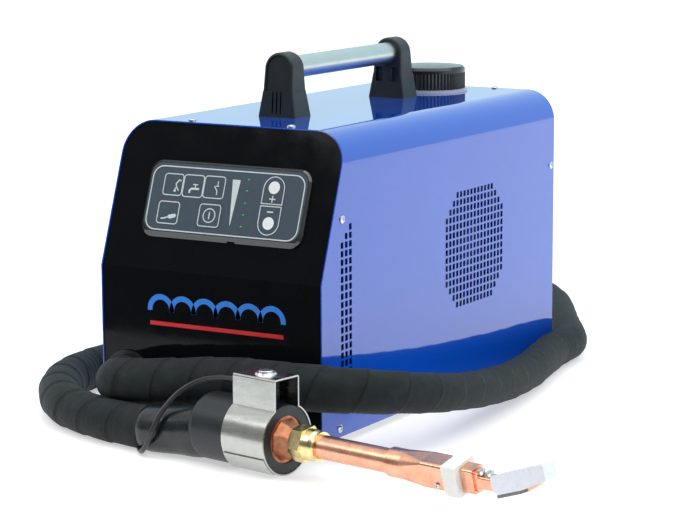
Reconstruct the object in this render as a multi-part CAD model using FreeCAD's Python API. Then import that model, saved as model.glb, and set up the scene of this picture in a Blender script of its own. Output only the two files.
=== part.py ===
import FreeCAD, Part
import math
import os

# Portable liquid-cooled induction heater for vehicle body work.
# Millimetres. Origin at the centre of the case footprint, on the floor the rubber feet stand on.
# +X is to the right as seen from the control panel, +Y is towards the rear panel, +Z is up.

V = FreeCAD.Vector

# ---------------------------------------------------------------- driving dimensions
CASE_W = 250.0
CASE_D = 493.6
CASE_H = 287.9
FOOT_H = 8.0
SHEET = 1.2
CORNER_R = 32.0          # rolled top corners of the cover
KNEE_H = 149.6           # height of the bend in the front panel above the case bottom
SETBACK = 49.4           # how far the top front edge sits behind the bottom one
PANEL_RECESS = 1.0       # front and rear panels sit this far inside the cover's edge
PANEL_T = 2.0
GAP = 0.3                # clearance beside anything that moves

HANDLE_TUBE_D = 22.3
HANDLE_RISE = 46.9       # tube axis above the cover
SHANK_W = 39.0
SHANK_T = 29.0

CAP_R = 40.0
CAP_H = 25.2
NECK_R = 30.0
CAP_LIFT = 10.0

HOSE_D = 40.0
LEAD_D = 5.0

TORCH_R = 31.5           # rubber grip tube
TORCH_L = 98.0
PIPE_D = 22.0            # copper water pipe of the lance
CLIP_T = 1.5

# ---------------------------------------------------------------- derived places
Z0 = FOOT_H
ZT = FOOT_H + CASE_H
HW = CASE_W / 2
YF = -CASE_D / 2
YR = CASE_D / 2
KNEE_Z = Z0 + KNEE_H
SLOPE_L = math.hypot(SETBACK, CASE_H - KNEE_H)
SLOPE_ANGLE = math.degrees(math.atan2(CASE_H - KNEE_H, SETBACK))

TORCH_POS = V(139.7, YF - 86.0, TORCH_R + CLIP_T + 0.3)
TORCH_HEADING = -10.2

os.makedirs("parts", exist_ok=True)


# ---------------------------------------------------------------- small helpers
def box(x0, x1, y0, y1, z0, z1):
    return Part.makeBox(x1 - x0, y1 - y0, z1 - z0, V(x0, y0, z0))


def cyl_x(r, x0, x1, y=0.0, z=0.0):
    return Part.makeCylinder(r, x1 - x0, V(x0, y, z), V(1, 0, 0))


def cyl_y(r, y0, y1, x=0.0, z=0.0):
    return Part.makeCylinder(r, y1 - y0, V(x, y0, z), V(0, 1, 0))


def cyl_z(r, z0, z1, x=0.0, y=0.0):
    return Part.makeCylinder(r, z1 - z0, V(x, y, z0), V(0, 0, 1))


def cone_x(r0, r1, x0, x1, y=0.0, z=0.0):
    return Part.makeCone(r0, r1, x1 - x0, V(x0, y, z), V(1, 0, 0))


def fuse(shapes):
    result = shapes[0]
    if len(shapes) > 1:
        result = result.multiFuse(shapes[1:])
    return result.removeSplitter()


def cut(shape, tools):
    return shape.cut(Part.makeCompound(tools))


def prism(points, direction):
    """Closed polygon of 3-D points, extruded along a vector."""
    wire = Part.makePolygon(points + [points[0]])
    return Part.Face(wire).extrude(direction)


def placed(shape, position, rotation):
    moved = shape.copy()
    moved.Placement = FreeCAD.Placement(position, rotation).multiply(moved.Placement)
    return moved


def save(name, shape):
    """One node: a single solid, or a compound of the solids that belong to it."""
    if len(shape.Solids) == 1:
        shape = shape.Solids[0]
    if not shape.isValid() or shape.Volume <= 0:
        raise ValueError("bad shape: " + name)
    shape.exportStep("parts/" + name + ".step")
    print(name, len(shape.Solids), round(shape.Volume, 1))


def rounded(shape, radius, keep):
    """Fillet the edges that keep(edge) picks."""
    edges = [edge for edge in shape.Edges if keep(edge)]
    return shape.makeFillet(radius, edges)


def edge_runs_along(edge, axis):
    if not isinstance(edge.Curve, Part.Line):
        return False
    direction = edge.Vertexes[1].Point.sub(edge.Vertexes[0].Point)
    return abs(abs(direction.normalize().dot(axis)) - 1) < 1e-6


def arch_block(inset, y0, y1, z_bottom):
    """Solid with the cover's outline, inset all round: flat sides, rolled top corners."""
    hw = HW - inset
    top = ZT - inset
    block = box(-hw, hw, y0, y1, z_bottom, top)
    return rounded(
        block, CORNER_R - inset,
        lambda e: edge_runs_along(e, V(0, 1, 0)) and e.CenterOfMass.z > top - 1)


def on_slope(shape, lift=0.0):
    """Local x, distance up the slope and height off it, to the sloping front panel."""
    spot = V(0, YF + PANEL_RECESS, KNEE_Z)
    turn = FreeCAD.Rotation(V(1, 0, 0), SLOPE_ANGLE)
    return placed(shape, spot + turn.multVec(V(0, 0, lift)), turn)


def on_torch(shape):
    """Local x along the lance, y across, z up, all from the middle of the grip's front face."""
    return placed(shape, TORCH_POS, FreeCAD.Rotation(V(0, 0, 1), TORCH_HEADING))


def torch_point(s, n, z):
    turn = FreeCAD.Rotation(V(0, 0, 1), TORCH_HEADING)
    return TORCH_POS + turn.multVec(V(s, n, z))


# ---------------------------------------------------------------- sheet-metal case
SIDE_SCREW_Z = Z0 + 207.3
LOW_SCREW_Z = Z0 + 8.6
REAR_SCREW_Y = YR - 8.3
side_screws = [
    (YF + 37.6, SIDE_SCREW_Z),
    (REAR_SCREW_Y, SIDE_SCREW_Z),
    (YF + 32.0, LOW_SCREW_Z),
    (REAR_SCREW_Y, LOW_SCREW_Z),
]
top_screws = [(x, y) for x in (-56.5, 56.5) for y in (YF + 60.0, REAR_SCREW_Y)]

TANK_Y = YR - 56.6                    # filler neck and tank centre
FAN_Y = YF + 306.6
FAN_Z = Z0 + 145.0

# hole field in front of the fan: rows of slots in an octagon
HOLE_W = 4.9
HOLE_H = 5.9
HOLE_PITCH_Y = 7.63
HOLE_PITCH_Z = 8.06
GRILLE_ROWS = [11, 13, 15] + [17] * 9 + [15, 13, 11]

# three columns of air slots behind the front edge, stepped at the top like the slope
SLOT_Y = [YF + 37.6, YF + 45.3, YF + 53.0]
SLOT_TOP = Z0 + 198.7
SLOT_ROWS = 19


def slot(y, z, x0, x1):
    return box(x0, x1, y - HOLE_W / 2, y + HOLE_W / 2, z - HOLE_H / 2, z + HOLE_H / 2)


def grille(x0, x1):
    holes = []
    top = FAN_Z + HOLE_PITCH_Z * (len(GRILLE_ROWS) - 1) / 2
    for row, count in enumerate(GRILLE_ROWS):
        z = top - row * HOLE_PITCH_Z
        for k in range(count):
            y = FAN_Y + (k - (count - 1) / 2) * HOLE_PITCH_Y
            holes.append(slot(y, z, x0, x1))
    return holes


def front_slots(x0, x1):
    holes = []
    for row in range(SLOT_ROWS):
        for column in range(3):
            if column + row >= 2:
                holes.append(slot(SLOT_Y[column], SLOT_TOP - row * HOLE_PITCH_Z, x0, x1))
    return holes


def make_cover():
    outer = arch_block(0, YF, YR, Z0)
    inner = arch_block(SHEET, YF - 1, YR + 1, Z0 - 1)
    wedge = prism(
        [V(-HW - 1, YF - 1, KNEE_Z), V(-HW - 1, YF, KNEE_Z),
         V(-HW - 1, YF + SETBACK, ZT), V(-HW - 1, YF + SETBACK + 0.36, ZT + 1),
         V(-HW - 1, YF - 1, ZT + 1)],
        V(CASE_W + 2, 0, 0))
    shell = outer.cut(inner).cut(wedge)
    wall = SHEET + 1
    tools = grille(HW - wall, HW + 1) + front_slots(HW - wall, HW + 1)
    tools += front_slots(-HW - 1, -HW + wall)
    for y, z in side_screws:
        tools.append(cyl_x(2.0, HW - wall, HW + 1, y, z))
        tools.append(cyl_x(2.0, -HW - 1, -HW + wall, y, z))
    for x, y in top_screws:
        tools.append(cyl_z(2.0, ZT - wall, ZT + 1, x, y))
    tools.append(cyl_z(NECK_R + 0.2, ZT - wall, ZT + 1, 0, TANK_Y))
    for y in (FRONT_SHANK_Y, REAR_SHANK_Y):
        for x in (-SHANK_BOLT_X, SHANK_BOLT_X):
            tools.append(cyl_z(2.6, ZT - wall, ZT + 1, x, y))
    return cut(shell, tools)


FRONT_SHANK_Y = YF + 139.0
REAR_SHANK_Y = YF + 357.5
SHANK_BOLT_X = 11.0

save("cover_shell", make_cover())

INSIDE = SHEET + 0.1                  # panels sit just inside the cover


def make_front_panel():
    """Bent plate: vertical lower face, slope above the knee, screw tabs behind the edges."""
    y = YF + PANEL_RECESS
    run = SETBACK / (CASE_H - KNEE_H)
    high = ZT + 5
    back = PANEL_T
    skin = [
        V(-HW, y, Z0 + 1),
        V(-HW, y, KNEE_Z),
        V(-HW, y + run * (high - KNEE_Z), high),
        V(-HW, y + run * (high - KNEE_Z) + back * 1.06, high),
        V(-HW, y + back, KNEE_Z - 0.35),
        V(-HW, y + back, Z0 + 1),
    ]
    plate = prism(skin, V(CASE_W, 0, 0))
    plate = plate.common(arch_block(INSIDE, YF - 1, YR, Z0))
    x_out = HW - INSIDE
    pieces = [plate]
    for side in (-1, 1):
        x0, x1 = sorted((side * x_out, side * (x_out - 1.7)))
        pieces.append(box(x0, x1, YF + 24.5, YF + 46, SIDE_SCREW_Z - 10, SIDE_SCREW_Z + 10))
        pieces.append(box(x0, x1, y + 0.5, YF + 42, LOW_SCREW_Z - 7, LOW_SCREW_Z + 8))
    panel = fuse(pieces)
    tools = [cyl_y(GLAND_BODY_R + 0.2, YF - 5, YF + 12, HOSE_EXIT_X, HOSE_EXIT_Z)]
    tools.append(on_slope(box(-60, 70, 45, 98, -6, 2)))
    for x0 in (-HW, HW - 6):
        tools.append(cyl_x(2.0, x0, x0 + 6, YF + 37.6, SIDE_SCREW_Z))
        tools.append(cyl_x(2.0, x0, x0 + 6, YF + 32.0, LOW_SCREW_Z))
    return cut(panel, tools)


HOSE_EXIT_X = -95.0
HOSE_EXIT_Z = Z0 + 41.0
GLAND_BODY_R = 24.5
GLAND_FLANGE_R = 26.5

save("front_panel", make_front_panel())

SWITCH_X = 62.0
SWITCH_Z = Z0 + 60.0
MAINS_X = -62.0
MAINS_Z = Z0 + 60.0


def make_rear_panel():
    y1 = YR - PANEL_RECESS
    y0 = y1 - PANEL_T
    plate = arch_block(INSIDE, y0, y1, Z0 + 1)
    x_out = HW - INSIDE
    pieces = [plate]
    for side in (-1, 1):
        x0, x1 = sorted((side * x_out, side * (x_out - 1.7)))
        pieces.append(box(x0, x1, YR - 16, y1 - 0.5, Z0 + 2, ZT - CORNER_R - 4))
    pieces.append(box(-70, 70, YR - 16, y1 - 0.5, ZT - INSIDE - 1.7, ZT - INSIDE))
    panel = fuse(pieces)
    tools = [box(SWITCH_X - 13.2, SWITCH_X + 13.2, y0 - 1, y1 + 1, SWITCH_Z - 10.2, SWITCH_Z + 10.2)]
    tools.append(cyl_y(8.2, y0 - 1, y1 + 1, MAINS_X, MAINS_Z))
    for row in range(8):
        z = Z0 + 130 + row * 9
        tools.append(box(-45, 45, y0 - 1, y1 + 1, z, z + 4))
    for x0 in (-HW, HW - 6):
        tools.append(cyl_x(2.0, x0, x0 + 6, REAR_SCREW_Y, SIDE_SCREW_Z))
        tools.append(cyl_x(2.0, x0, x0 + 6, REAR_SCREW_Y, LOW_SCREW_Z))
    for x in (-56.5, 56.5):
        tools.append(cyl_z(2.0, ZT - 6, ZT + 1, x, REAR_SCREW_Y))
    return cut(panel, tools)


save("rear_panel", make_rear_panel())


def make_chassis():
    """Folded tray: floor with an upturned flange along each long side."""
    x_out = HW - INSIDE
    y0 = YF + 48
    y1 = YR - 17
    floor = box(-x_out, x_out, YF + 4, YR - 4, Z0, Z0 + 1.5)
    flanges = [box(-x_out, -x_out + 1.5, y0, y1, Z0, Z0 + 18), box(x_out - 1.5, x_out, y0, y1, Z0, Z0 + 18)]
    tray = fuse([floor] + flanges)
    return cut(tray, [cyl_z(2.1, Z0 - 1, Z0 + 3, x, y) for x, y in foot_spots])


foot_spots = [(x, y) for x in (-95.0, 95.0) for y in (YF + 32.0, YR - 32.0)]
save("chassis_tray", make_chassis())

for name, (x, y) in zip(("foot_front_left", "foot_rear_left", "foot_front_right", "foot_rear_right"), foot_spots):
    pad = Part.makeCone(9.0, 11.0, FOOT_H, V(x, y, 0), V(0, 0, 1))
    stud = cyl_z(2.0, FOOT_H - 1, FOOT_H + 4, x, y)
    save(name, fuse([pad, stud]))


def pan_screw(head_r=4.0, head_h=2.4, shank_r=1.9, shank_l=7.0):
    """Pan head on +Z, shank below, cross recess in the head."""
    dome = Part.makeSphere(head_r * 1.6, V(0, 0, head_h - head_r * 1.6))
    head = cyl_z(head_r, 0, head_h).common(dome)
    recess = fuse([box(-2.0, 2.0, -0.4, 0.4, head_h - 1.3, head_h + 1),
                   box(-0.4, 0.4, -2.0, 2.0, head_h - 1.3, head_h + 1)])
    return fuse([head, cyl_z(shank_r, -shank_l, 0)]).cut(recess)


screw = pan_screw()
right_turn = FreeCAD.Rotation(V(0, 1, 0), 90)
left_turn = FreeCAD.Rotation(V(0, 1, 0), -90)
no_turn = FreeCAD.Rotation()
save("cover_screws_right", Part.makeCompound([placed(screw, V(HW, y, z), right_turn) for y, z in side_screws]))
save("cover_screws_left", Part.makeCompound([placed(screw, V(-HW, y, z), left_turn) for y, z in side_screws]))
save("cover_screws_top", Part.makeCompound([placed(screw, V(x, y, ZT), no_turn) for x, y in top_screws]))


# ---------------------------------------------------------------- carrying handle
TUBE_Z = ZT + HANDLE_RISE
TUBE_R = HANDLE_TUBE_D / 2
CROWN_R = TUBE_R + 5.0
SKIRT_H = 25.0
BODY_Z = ZT + SKIRT_H - 4


def arch(x_half, r, y, z_low, z_mid, depth):
    """Solid with an arched outline: straight flanks up to z_mid, a round top above them."""
    outline = Part.Wire([
        Part.LineSegment(V(-x_half, y, z_low), V(x_half, y, z_low)).toShape(),
        Part.LineSegment(V(x_half, y, z_low), V(r, y, z_mid)).toShape(),
        Part.Arc(V(r, y, z_mid), V(0, y, z_mid + r), V(-r, y, z_mid)).toShape(),
        Part.LineSegment(V(-r, y, z_mid), V(-x_half, y, z_low)).toShape(),
    ])
    return Part.Face(outline).extrude(V(0, depth, 0))


def leaning(shape, y_mid, outward, depth_low, depth_high):
    """Trim the outer side of a shape to a plane that leans in from the skirt to the crown."""
    top = TUBE_Z + CROWN_R + 1
    low = y_mid + outward * depth_low
    high = y_mid + outward * depth_high
    beyond = y_mid + outward * 40
    return shape.cut(prism([V(-50, low, BODY_Z), V(-50, high, top), V(-50, beyond, top),
                            V(-50, beyond, BODY_Z)], V(100, 0, 0)))


def make_shank(y_mid, outward):
    """Moulded foot: flared, fluted skirt; arched body above it, sunk on its outer face."""
    half_t = SHANK_T / 2
    body = arch(SHANK_W / 2 - 2.4, CROWN_R, y_mid - half_t, BODY_Z, TUBE_Z, SHANK_T)
    body = leaning(body, y_mid, outward, half_t - 0.6, 9.5)
    body = leaning(body, y_mid, -outward, half_t - 0.6, 11.0)
    body = rounded(body, 2.4, lambda e: e.CenterOfMass.z > BODY_Z + 1 and not edge_runs_along(e, V(0, 1, 0)))
    foot = [V(x, y, ZT) for x, y in ((-21.4, -16), (21.4, -16), (21.4, 16), (-21.4, 16))]
    waist = [V(x, y, ZT + SKIRT_H) for x, y in ((-17.3, -13.9), (17.3, -13.9), (17.3, 13.9), (-17.3, 13.9))]
    rings = [Part.makePolygon([p + V(0, y_mid, 0) for p in ring + [ring[0]]]) for ring in (foot, waist)]
    skirt = rounded(Part.makeLoft(rings, True, True), 2.4,
                    lambda e: ZT + 1 < e.CenterOfMass.z < ZT + SKIRT_H - 1)
    block = fuse([skirt, body])
    # sunken field on the outer face above the skirt
    field = arch(SHANK_W / 2 - 6.0, CROWN_R - 3.2, y_mid - 30, ZT + SKIRT_H + 0.1, TUBE_Z + 0.5, 60)
    kept = leaning(field, y_mid, outward, half_t - 1.9, 8.2)
    tools = [field.cut(kept)]
    # socket for the tube, open on the inner face only
    inner = y_mid - outward * half_t
    a, b = sorted((y_mid + outward * 4.0, inner - outward * 4.0))
    tools.append(cyl_y(TUBE_R + 0.05, a, b, 0, TUBE_Z))
    # hollows beside a round column below the socket
    hollow_y = sorted((inner + outward * 4.2, inner - outward * 4.0))
    hollow = box(-13.0, 13.0, hollow_y[0], hollow_y[1], ZT + SKIRT_H - 8, TUBE_Z - TUBE_R - 3.5)
    column = cyl_z(7.0, ZT, TUBE_Z, 0, inner + outward * 6.5)
    tools.append(hollow.cut(column))
    # three narrow flutes up the skirt's outer face
    flute_y = sorted((y_mid + outward * (half_t - 2.2), y_mid + outward * (half_t + 4)))
    for x in (-4.6, 0.0, 4.6):
        tools.append(box(x - 0.85, x + 0.85, flute_y[0], flute_y[1], ZT + 3.5, ZT + SKIRT_H + 1))
    # bolts come up from inside the case
    for x in (-SHANK_BOLT_X, SHANK_BOLT_X):
        tools.append(cyl_z(2.55, ZT - 1, ZT + 16, x, y_mid))
    return cut(block, tools)


save("handle_shank_front", make_shank(FRONT_SHANK_Y, -1))
save("handle_shank_rear", make_shank(REAR_SHANK_Y, 1))
tube_outer = cyl_y(TUBE_R, FRONT_SHANK_Y - 4, REAR_SHANK_Y + 4, 0, TUBE_Z)
tube_bore = cyl_y(TUBE_R - 2, FRONT_SHANK_Y - 5, REAR_SHANK_Y + 5, 0, TUBE_Z)
save("handle_tube", tube_outer.cut(tube_bore))
bolts = []
for y in (FRONT_SHANK_Y, REAR_SHANK_Y):
    for x in (-SHANK_BOLT_X, SHANK_BOLT_X):
        shaft = cyl_z(2.5, ZT - SHEET - 1, ZT + 15, x, y)
        head = cyl_z(4.5, ZT - SHEET - 5, ZT - SHEET, x, y)
        bolts.append(fuse([shaft, head]))
save("handle_bolts", Part.makeCompound(bolts))


# ---------------------------------------------------------------- control panel on the slope
BEZEL_X = (-85.5, 96.5)
BEZEL_V = (32.0, 107.5)
BEZEL_T = 4.2
BEZEL_CHAMFER = 2.0
BEZEL_CORNER = 13.5
LIP_V = 5.2                           # depth of the long chamfer under the keys
POCKET = (-82.8, 93.8, 37.8, 104.8)
OVERLAY_T = 0.9
KEY_TRAVEL = 0.5
PILL_X = 58.1
PILL_HALF = 12.0
PILL_V = (41.9, 71.0, 99.0)           # bottom, divider, top
POWER_BOX = (-21.4, 3.8, 44.8, 67.6)
LED_X = 28.7
LED_V = [47.9, 59.2, 70.6, 82.4, 93.6]


def pill_half(upper, grow, z0, z1):
    """Half of a round-ended key; grow enlarges it for the hole around it."""
    r = PILL_HALF + grow
    if upper:
        v0, v1 = PILL_V[1] + 0.5 - grow, PILL_V[2] - PILL_HALF
        round_v = v1
    else:
        v0, v1 = PILL_V[0] + PILL_HALF, PILL_V[1] - 0.5 + grow
        round_v = v0
    body = box(PILL_X - r, PILL_X + r, v0, v1, z0, z1)
    return fuse([body, cyl_z(r, z0, z1, PILL_X, round_v)])


def power_key(grow, z0, z1):
    x0, x1, v0, v1 = POWER_BOX
    block = box(x0 - grow, x1 + grow, v0 - grow, v1 + grow, z0, z1)
    return rounded(block, 2.0 + grow, lambda e: edge_runs_along(e, V(0, 0, 1)))


KEY_Z0 = BEZEL_T - 2.6
KEY_Z1 = BEZEL_T + 0.35
bezel = rounded(box(BEZEL_X[0], BEZEL_X[1], BEZEL_V[0], BEZEL_V[1], 0, BEZEL_T), BEZEL_CORNER,
                lambda e: edge_runs_along(e, V(0, 0, 1)))
top_edges = [e for e in bezel.Edges if e.CenterOfMass.z > BEZEL_T - 0.01]
bezel = bezel.makeChamfer(BEZEL_CHAMFER, top_edges)
lip = prism([V(-120, BEZEL_V[0] - 1, 0.9), V(-120, BEZEL_V[0], 0.9), V(-120, BEZEL_V[0] + LIP_V, BEZEL_T),
             V(-120, BEZEL_V[0] + LIP_V, BEZEL_T + 1), V(-120, BEZEL_V[0] - 1, BEZEL_T + 1)], V(240, 0, 0))
bezel = bezel.cut(lip)
pocket_block = rounded(box(POCKET[0], POCKET[1], POCKET[2], POCKET[3], BEZEL_T - OVERLAY_T, BEZEL_T + 1),
                       12.0, lambda e: edge_runs_along(e, V(0, 0, 1)))
key_wells = [pill_half(True, GAP, KEY_Z0 - KEY_TRAVEL - GAP, BEZEL_T + 1),
             pill_half(False, GAP, KEY_Z0 - KEY_TRAVEL - GAP, BEZEL_T + 1),
             power_key(GAP, KEY_Z0 - KEY_TRAVEL - GAP, BEZEL_T + 1)]
led_holes = [cyl_z(1.6, -1, BEZEL_T + 1, LED_X, v) for v in LED_V]
catch = box(14, 23, BEZEL_V[0] - 1, BEZEL_V[0] + 1.4, -1, BEZEL_T + 1)
bezel = cut(bezel, [pocket_block, catch] + key_wells + led_holes)
save("control_bezel", on_slope(bezel))

overlay = rounded(box(POCKET[0] + 0.1, POCKET[1] - 0.1, POCKET[2] + 0.1, POCKET[3] - 0.1,
                      BEZEL_T - OVERLAY_T, BEZEL_T),
                  11.9, lambda e: edge_runs_along(e, V(0, 0, 1)))
overlay = cut(overlay, [pill_half(True, GAP, 0, 9), pill_half(False, GAP, 0, 9), power_key(GAP, 0, 9)] + led_holes)
save("membrane_overlay", on_slope(overlay))
save("key_plus", on_slope(pill_half(True, 0, KEY_Z0, KEY_Z1)))
save("key_minus", on_slope(pill_half(False, 0, KEY_Z0, KEY_Z1)))
save("key_power", on_slope(power_key(0, KEY_Z0, KEY_Z1)))

board = box(-80, 80, 42, 98, -7.6, -6.0)
save("control_board", on_slope(board))
leds = [fuse([cyl_z(1.5, -6.0, BEZEL_T - 0.4, LED_X, v), Part.makeSphere(1.5, V(LED_X, v, BEZEL_T - 0.4))])
        for v in LED_V]
save("level_leds", on_slope(Part.makeCompound(leds)))


# ---------------------------------------------------------------- coolant circuit
TANK_TOP = ZT - 24.0
NECK_TOP = ZT + 17.0
tank_outer = box(-92, 92, TANK_Y - 42, TANK_Y + 42, Z0 + 130, TANK_TOP)
tank_outer = rounded(tank_outer, 12.0, lambda e: edge_runs_along(e, V(0, 0, 1)))
tank_inner = box(-89, 89, TANK_Y - 39, TANK_Y + 39, Z0 + 133, TANK_TOP - 3)
tank = tank_outer.cut(tank_inner).cut(cyl_z(NECK_R - 3, TANK_TOP - 4, TANK_TOP + 1, 0, TANK_Y))
save("coolant_tank", tank)

neck = fuse([cyl_z(NECK_R, TANK_TOP, NECK_TOP, 0, TANK_Y), cyl_z(CAP_R + 2.4, ZT, ZT + 2.6, 0, TANK_Y)])
neck = neck.cut(cyl_z(NECK_R - 3, TANK_TOP - 1, NECK_TOP + 1, 0, TANK_Y))
save("filler_neck", neck)


def make_cap():
    """Screw cap: fine ribs, plain band above them, shoulder and slightly domed lid."""
    ribs = 64
    z0 = ZT + 3.0
    rib_top = z0 + CAP_H - 8.0
    points = []
    for k in range(2 * ribs):
        r = CAP_R if k % 2 == 0 else CAP_R - 0.9
        angle = math.pi * k / ribs
        points.append(V(r * math.cos(angle), TANK_Y + r * math.sin(angle), z0))
    skirt = prism(points, V(0, 0, rib_top - z0))
    band = cyl_z(CAP_R - 0.1, rib_top, rib_top + 3.4, 0, TANK_Y)
    shoulder = Part.makeCone(CAP_R - 0.1, CAP_R - 2.2, 3.0, V(0, TANK_Y, rib_top + 3.4), V(0, 0, 1))
    lid_z = rib_top + 6.4
    dome_rise = 1.6
    dome_r = ((CAP_R - 2.2) ** 2 + dome_rise ** 2) / (2 * dome_rise)
    lid = Part.makeSphere(dome_r, V(0, TANK_Y, lid_z + dome_rise - dome_r)).common(
        cyl_z(CAP_R - 2.2, lid_z, lid_z + dome_rise + 1, 0, TANK_Y))
    cap = fuse([skirt, band, shoulder, lid])
    return cap.cut(cyl_z(NECK_R + GAP + 0.1, z0 - 1, NECK_TOP + 2.6, 0, TANK_Y))


save("filler_cap", make_cap())
save("cap_seal", cyl_z(NECK_R, NECK_TOP + 0.2, NECK_TOP + 2.2, 0, TANK_Y))

FAN_X0 = 96.5
FAN_X1 = 121.5
FAN_HALF = 60.0
FAN_BORE = 57.5
fan = box(FAN_X0, FAN_X1, FAN_Y - FAN_HALF, FAN_Y + FAN_HALF, FAN_Z - FAN_HALF, FAN_Z + FAN_HALF)
fan = fan.cut(cyl_x(FAN_BORE, FAN_X0 - 1, FAN_X1 + 1, FAN_Y, FAN_Z))
motor_plate = cyl_x(20, FAN_X0, FAN_X0 + 3, FAN_Y, FAN_Z)
axle = cyl_x(2.0, FAN_X0 + 3, FAN_X0 + 16, FAN_Y, FAN_Z)
struts = [box(FAN_X0, FAN_X0 + 3, FAN_Y - FAN_BORE - 1, FAN_Y + FAN_BORE + 1, FAN_Z - 2.5, FAN_Z + 2.5),
          box(FAN_X0, FAN_X0 + 3, FAN_Y - 2.5, FAN_Y + 2.5, FAN_Z - FAN_BORE - 1, FAN_Z + FAN_BORE + 1)]
save("fan_frame", fuse([fan, motor_plate, axle] + struts))

hub = cyl_x(20, FAN_X0 + 4, FAN_X0 + 22, FAN_Y, FAN_Z).cut(cyl_x(2.06, FAN_X0, FAN_X0 + 17, FAN_Y, FAN_Z))
blades = []
for k in range(7):
    blade = box(-7, 7, -0.9, 0.9, 18, 55)
    blade = placed(blade, V(0, 0, 0), FreeCAD.Rotation(V(0, 0, 1), 35))
    blade = placed(blade, V(FAN_X0 + 13, FAN_Y, FAN_Z), FreeCAD.Rotation(V(1, 0, 0), 360.0 * k / 7))
    blades.append(blade)
save("fan_rotor", fuse([hub] + blades))

fins = [box(58, 92, FAN_Y - 60, FAN_Y + 60, FAN_Z - 58 + 8 * k, FAN_Z - 55 + 8 * k) for k in range(15)]
headers = [box(58, 92, FAN_Y + s * 60 - 3, FAN_Y + s * 60 + 3, FAN_Z - 60, FAN_Z + 60) for s in (-1, 1)]
save("radiator_core", fuse(fins + headers))

PUMP = V(-70, YF + 330, Z0 + 48)
volute = fuse([cyl_y(30, PUMP.y, PUMP.y + 28, PUMP.x, PUMP.z),
               box(PUMP.x - 22, PUMP.x + 22, PUMP.y, PUMP.y + 28, Z0 + 1.5, PUMP.z),
               cyl_z(9, PUMP.z, PUMP.z + 48, PUMP.x - 18, PUMP.y + 14)])
chamber = cyl_y(24, PUMP.y + 6, PUMP.y + 22, PUMP.x, PUMP.z)
shaft_hole = cyl_y(3.06, PUMP.y - 1, PUMP.y + 7, PUMP.x, PUMP.z)
save("pump_body", volute.cut(chamber).cut(shaft_hole))
vanes = [placed(box(-1, 1, 8, 15, 3, 22.5), V(PUMP.x, PUMP.y, PUMP.z), FreeCAD.Rotation(V(0, 1, 0), 60.0 * k))
         for k in range(6)]
save("pump_impeller", fuse([cyl_y(3.0, PUMP.y - 8, PUMP.y + 15, PUMP.x, PUMP.z),
                            cyl_y(10, PUMP.y + 7, PUMP.y + 15, PUMP.x, PUMP.z),
                            cyl_y(23, PUMP.y + 15, PUMP.y + 17, PUMP.x, PUMP.z)] + vanes))
motor = cyl_y(27, PUMP.y - 70, PUMP.y, PUMP.x, PUMP.z).cut(cyl_y(3.5, PUMP.y - 10, PUMP.y + 1, PUMP.x, PUMP.z))
motor_foot = box(PUMP.x - 18, PUMP.x + 18, PUMP.y - 60, PUMP.y - 15, Z0 + 1.5, PUMP.z - 22)
save("pump_motor", fuse([motor, motor_foot]).cut(cyl_y(3.5, PUMP.y - 10, PUMP.y + 1, PUMP.x, PUMP.z)))


# ---------------------------------------------------------------- power electronics
BOARD_Z = Z0 + 40.0
save("inverter_board", box(-60, 95, YF + 75, YF + 235, BOARD_Z, BOARD_Z + 1.6))
sink_base = box(-55, 35, YF + 85, YF + 225, BOARD_Z - 30, BOARD_Z - 24)
sink_fins = [box(-55 + 9 * k, -52 + 9 * k, YF + 85, YF + 225, BOARD_Z - 24, BOARD_Z - 0.2) for k in range(10)]
sink_feet = [box(-55, -45, YF + 85, YF + 225, Z0 + 1.5, BOARD_Z - 30), box(28, 35, YF + 85, YF + 225, Z0 + 1.5,
                                                                         BOARD_Z - 30)]
save("heat_sink", fuse([sink_base] + sink_fins + sink_feet))
cans = [cyl_z(14, BOARD_Z + 1.6, BOARD_Z + 52, x, y) for x in (48, 80) for y in (YF + 100, YF + 140, YF + 180)]
save("capacitor_bank", Part.makeCompound(cans))
core = box(-50, 10, YF + 95, YF + 205, BOARD_Z + 1.6, BOARD_Z + 62)
core_windows = [box(-51, 11, YF + 112, YF + 140, BOARD_Z + 16, BOARD_Z + 48),
                box(-51, 11, YF + 160, YF + 188, BOARD_Z + 16, BOARD_Z + 48)]
save("transformer_core", cut(core, core_windows))
winding = box(-58, 18, YF + 128, YF + 172, BOARD_Z + 17, BOARD_Z + 47)
save("transformer_winding", winding.cut(box(-50.2, 10.2, YF + 139.8, YF + 160.2, BOARD_Z, BOARD_Z + 60)))


# ---------------------------------------------------------------- rear fittings
gland_nut = prism([V(MAINS_X + 13 * math.cos(math.radians(60 * k)), YR - PANEL_RECESS,
                     MAINS_Z + 13 * math.sin(math.radians(60 * k))) for k in range(6)], V(0, 6, 0))
gland_dome = Part.makeCone(11, 8, 9, V(MAINS_X, YR - PANEL_RECESS + 6, MAINS_Z), V(0, 1, 0))
gland_body = cyl_y(8, YR - PANEL_RECESS - 14, YR - PANEL_RECESS, MAINS_X, MAINS_Z)
gland_back = cyl_y(11, YR - PANEL_RECESS - 8, YR - PANEL_RECESS - PANEL_T, MAINS_X, MAINS_Z)
save("mains_gland", fuse([gland_nut, gland_dome, gland_body, gland_back]).cut(
    cyl_y(4.5, YR - 30, YR + 30, MAINS_X, MAINS_Z)))

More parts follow.
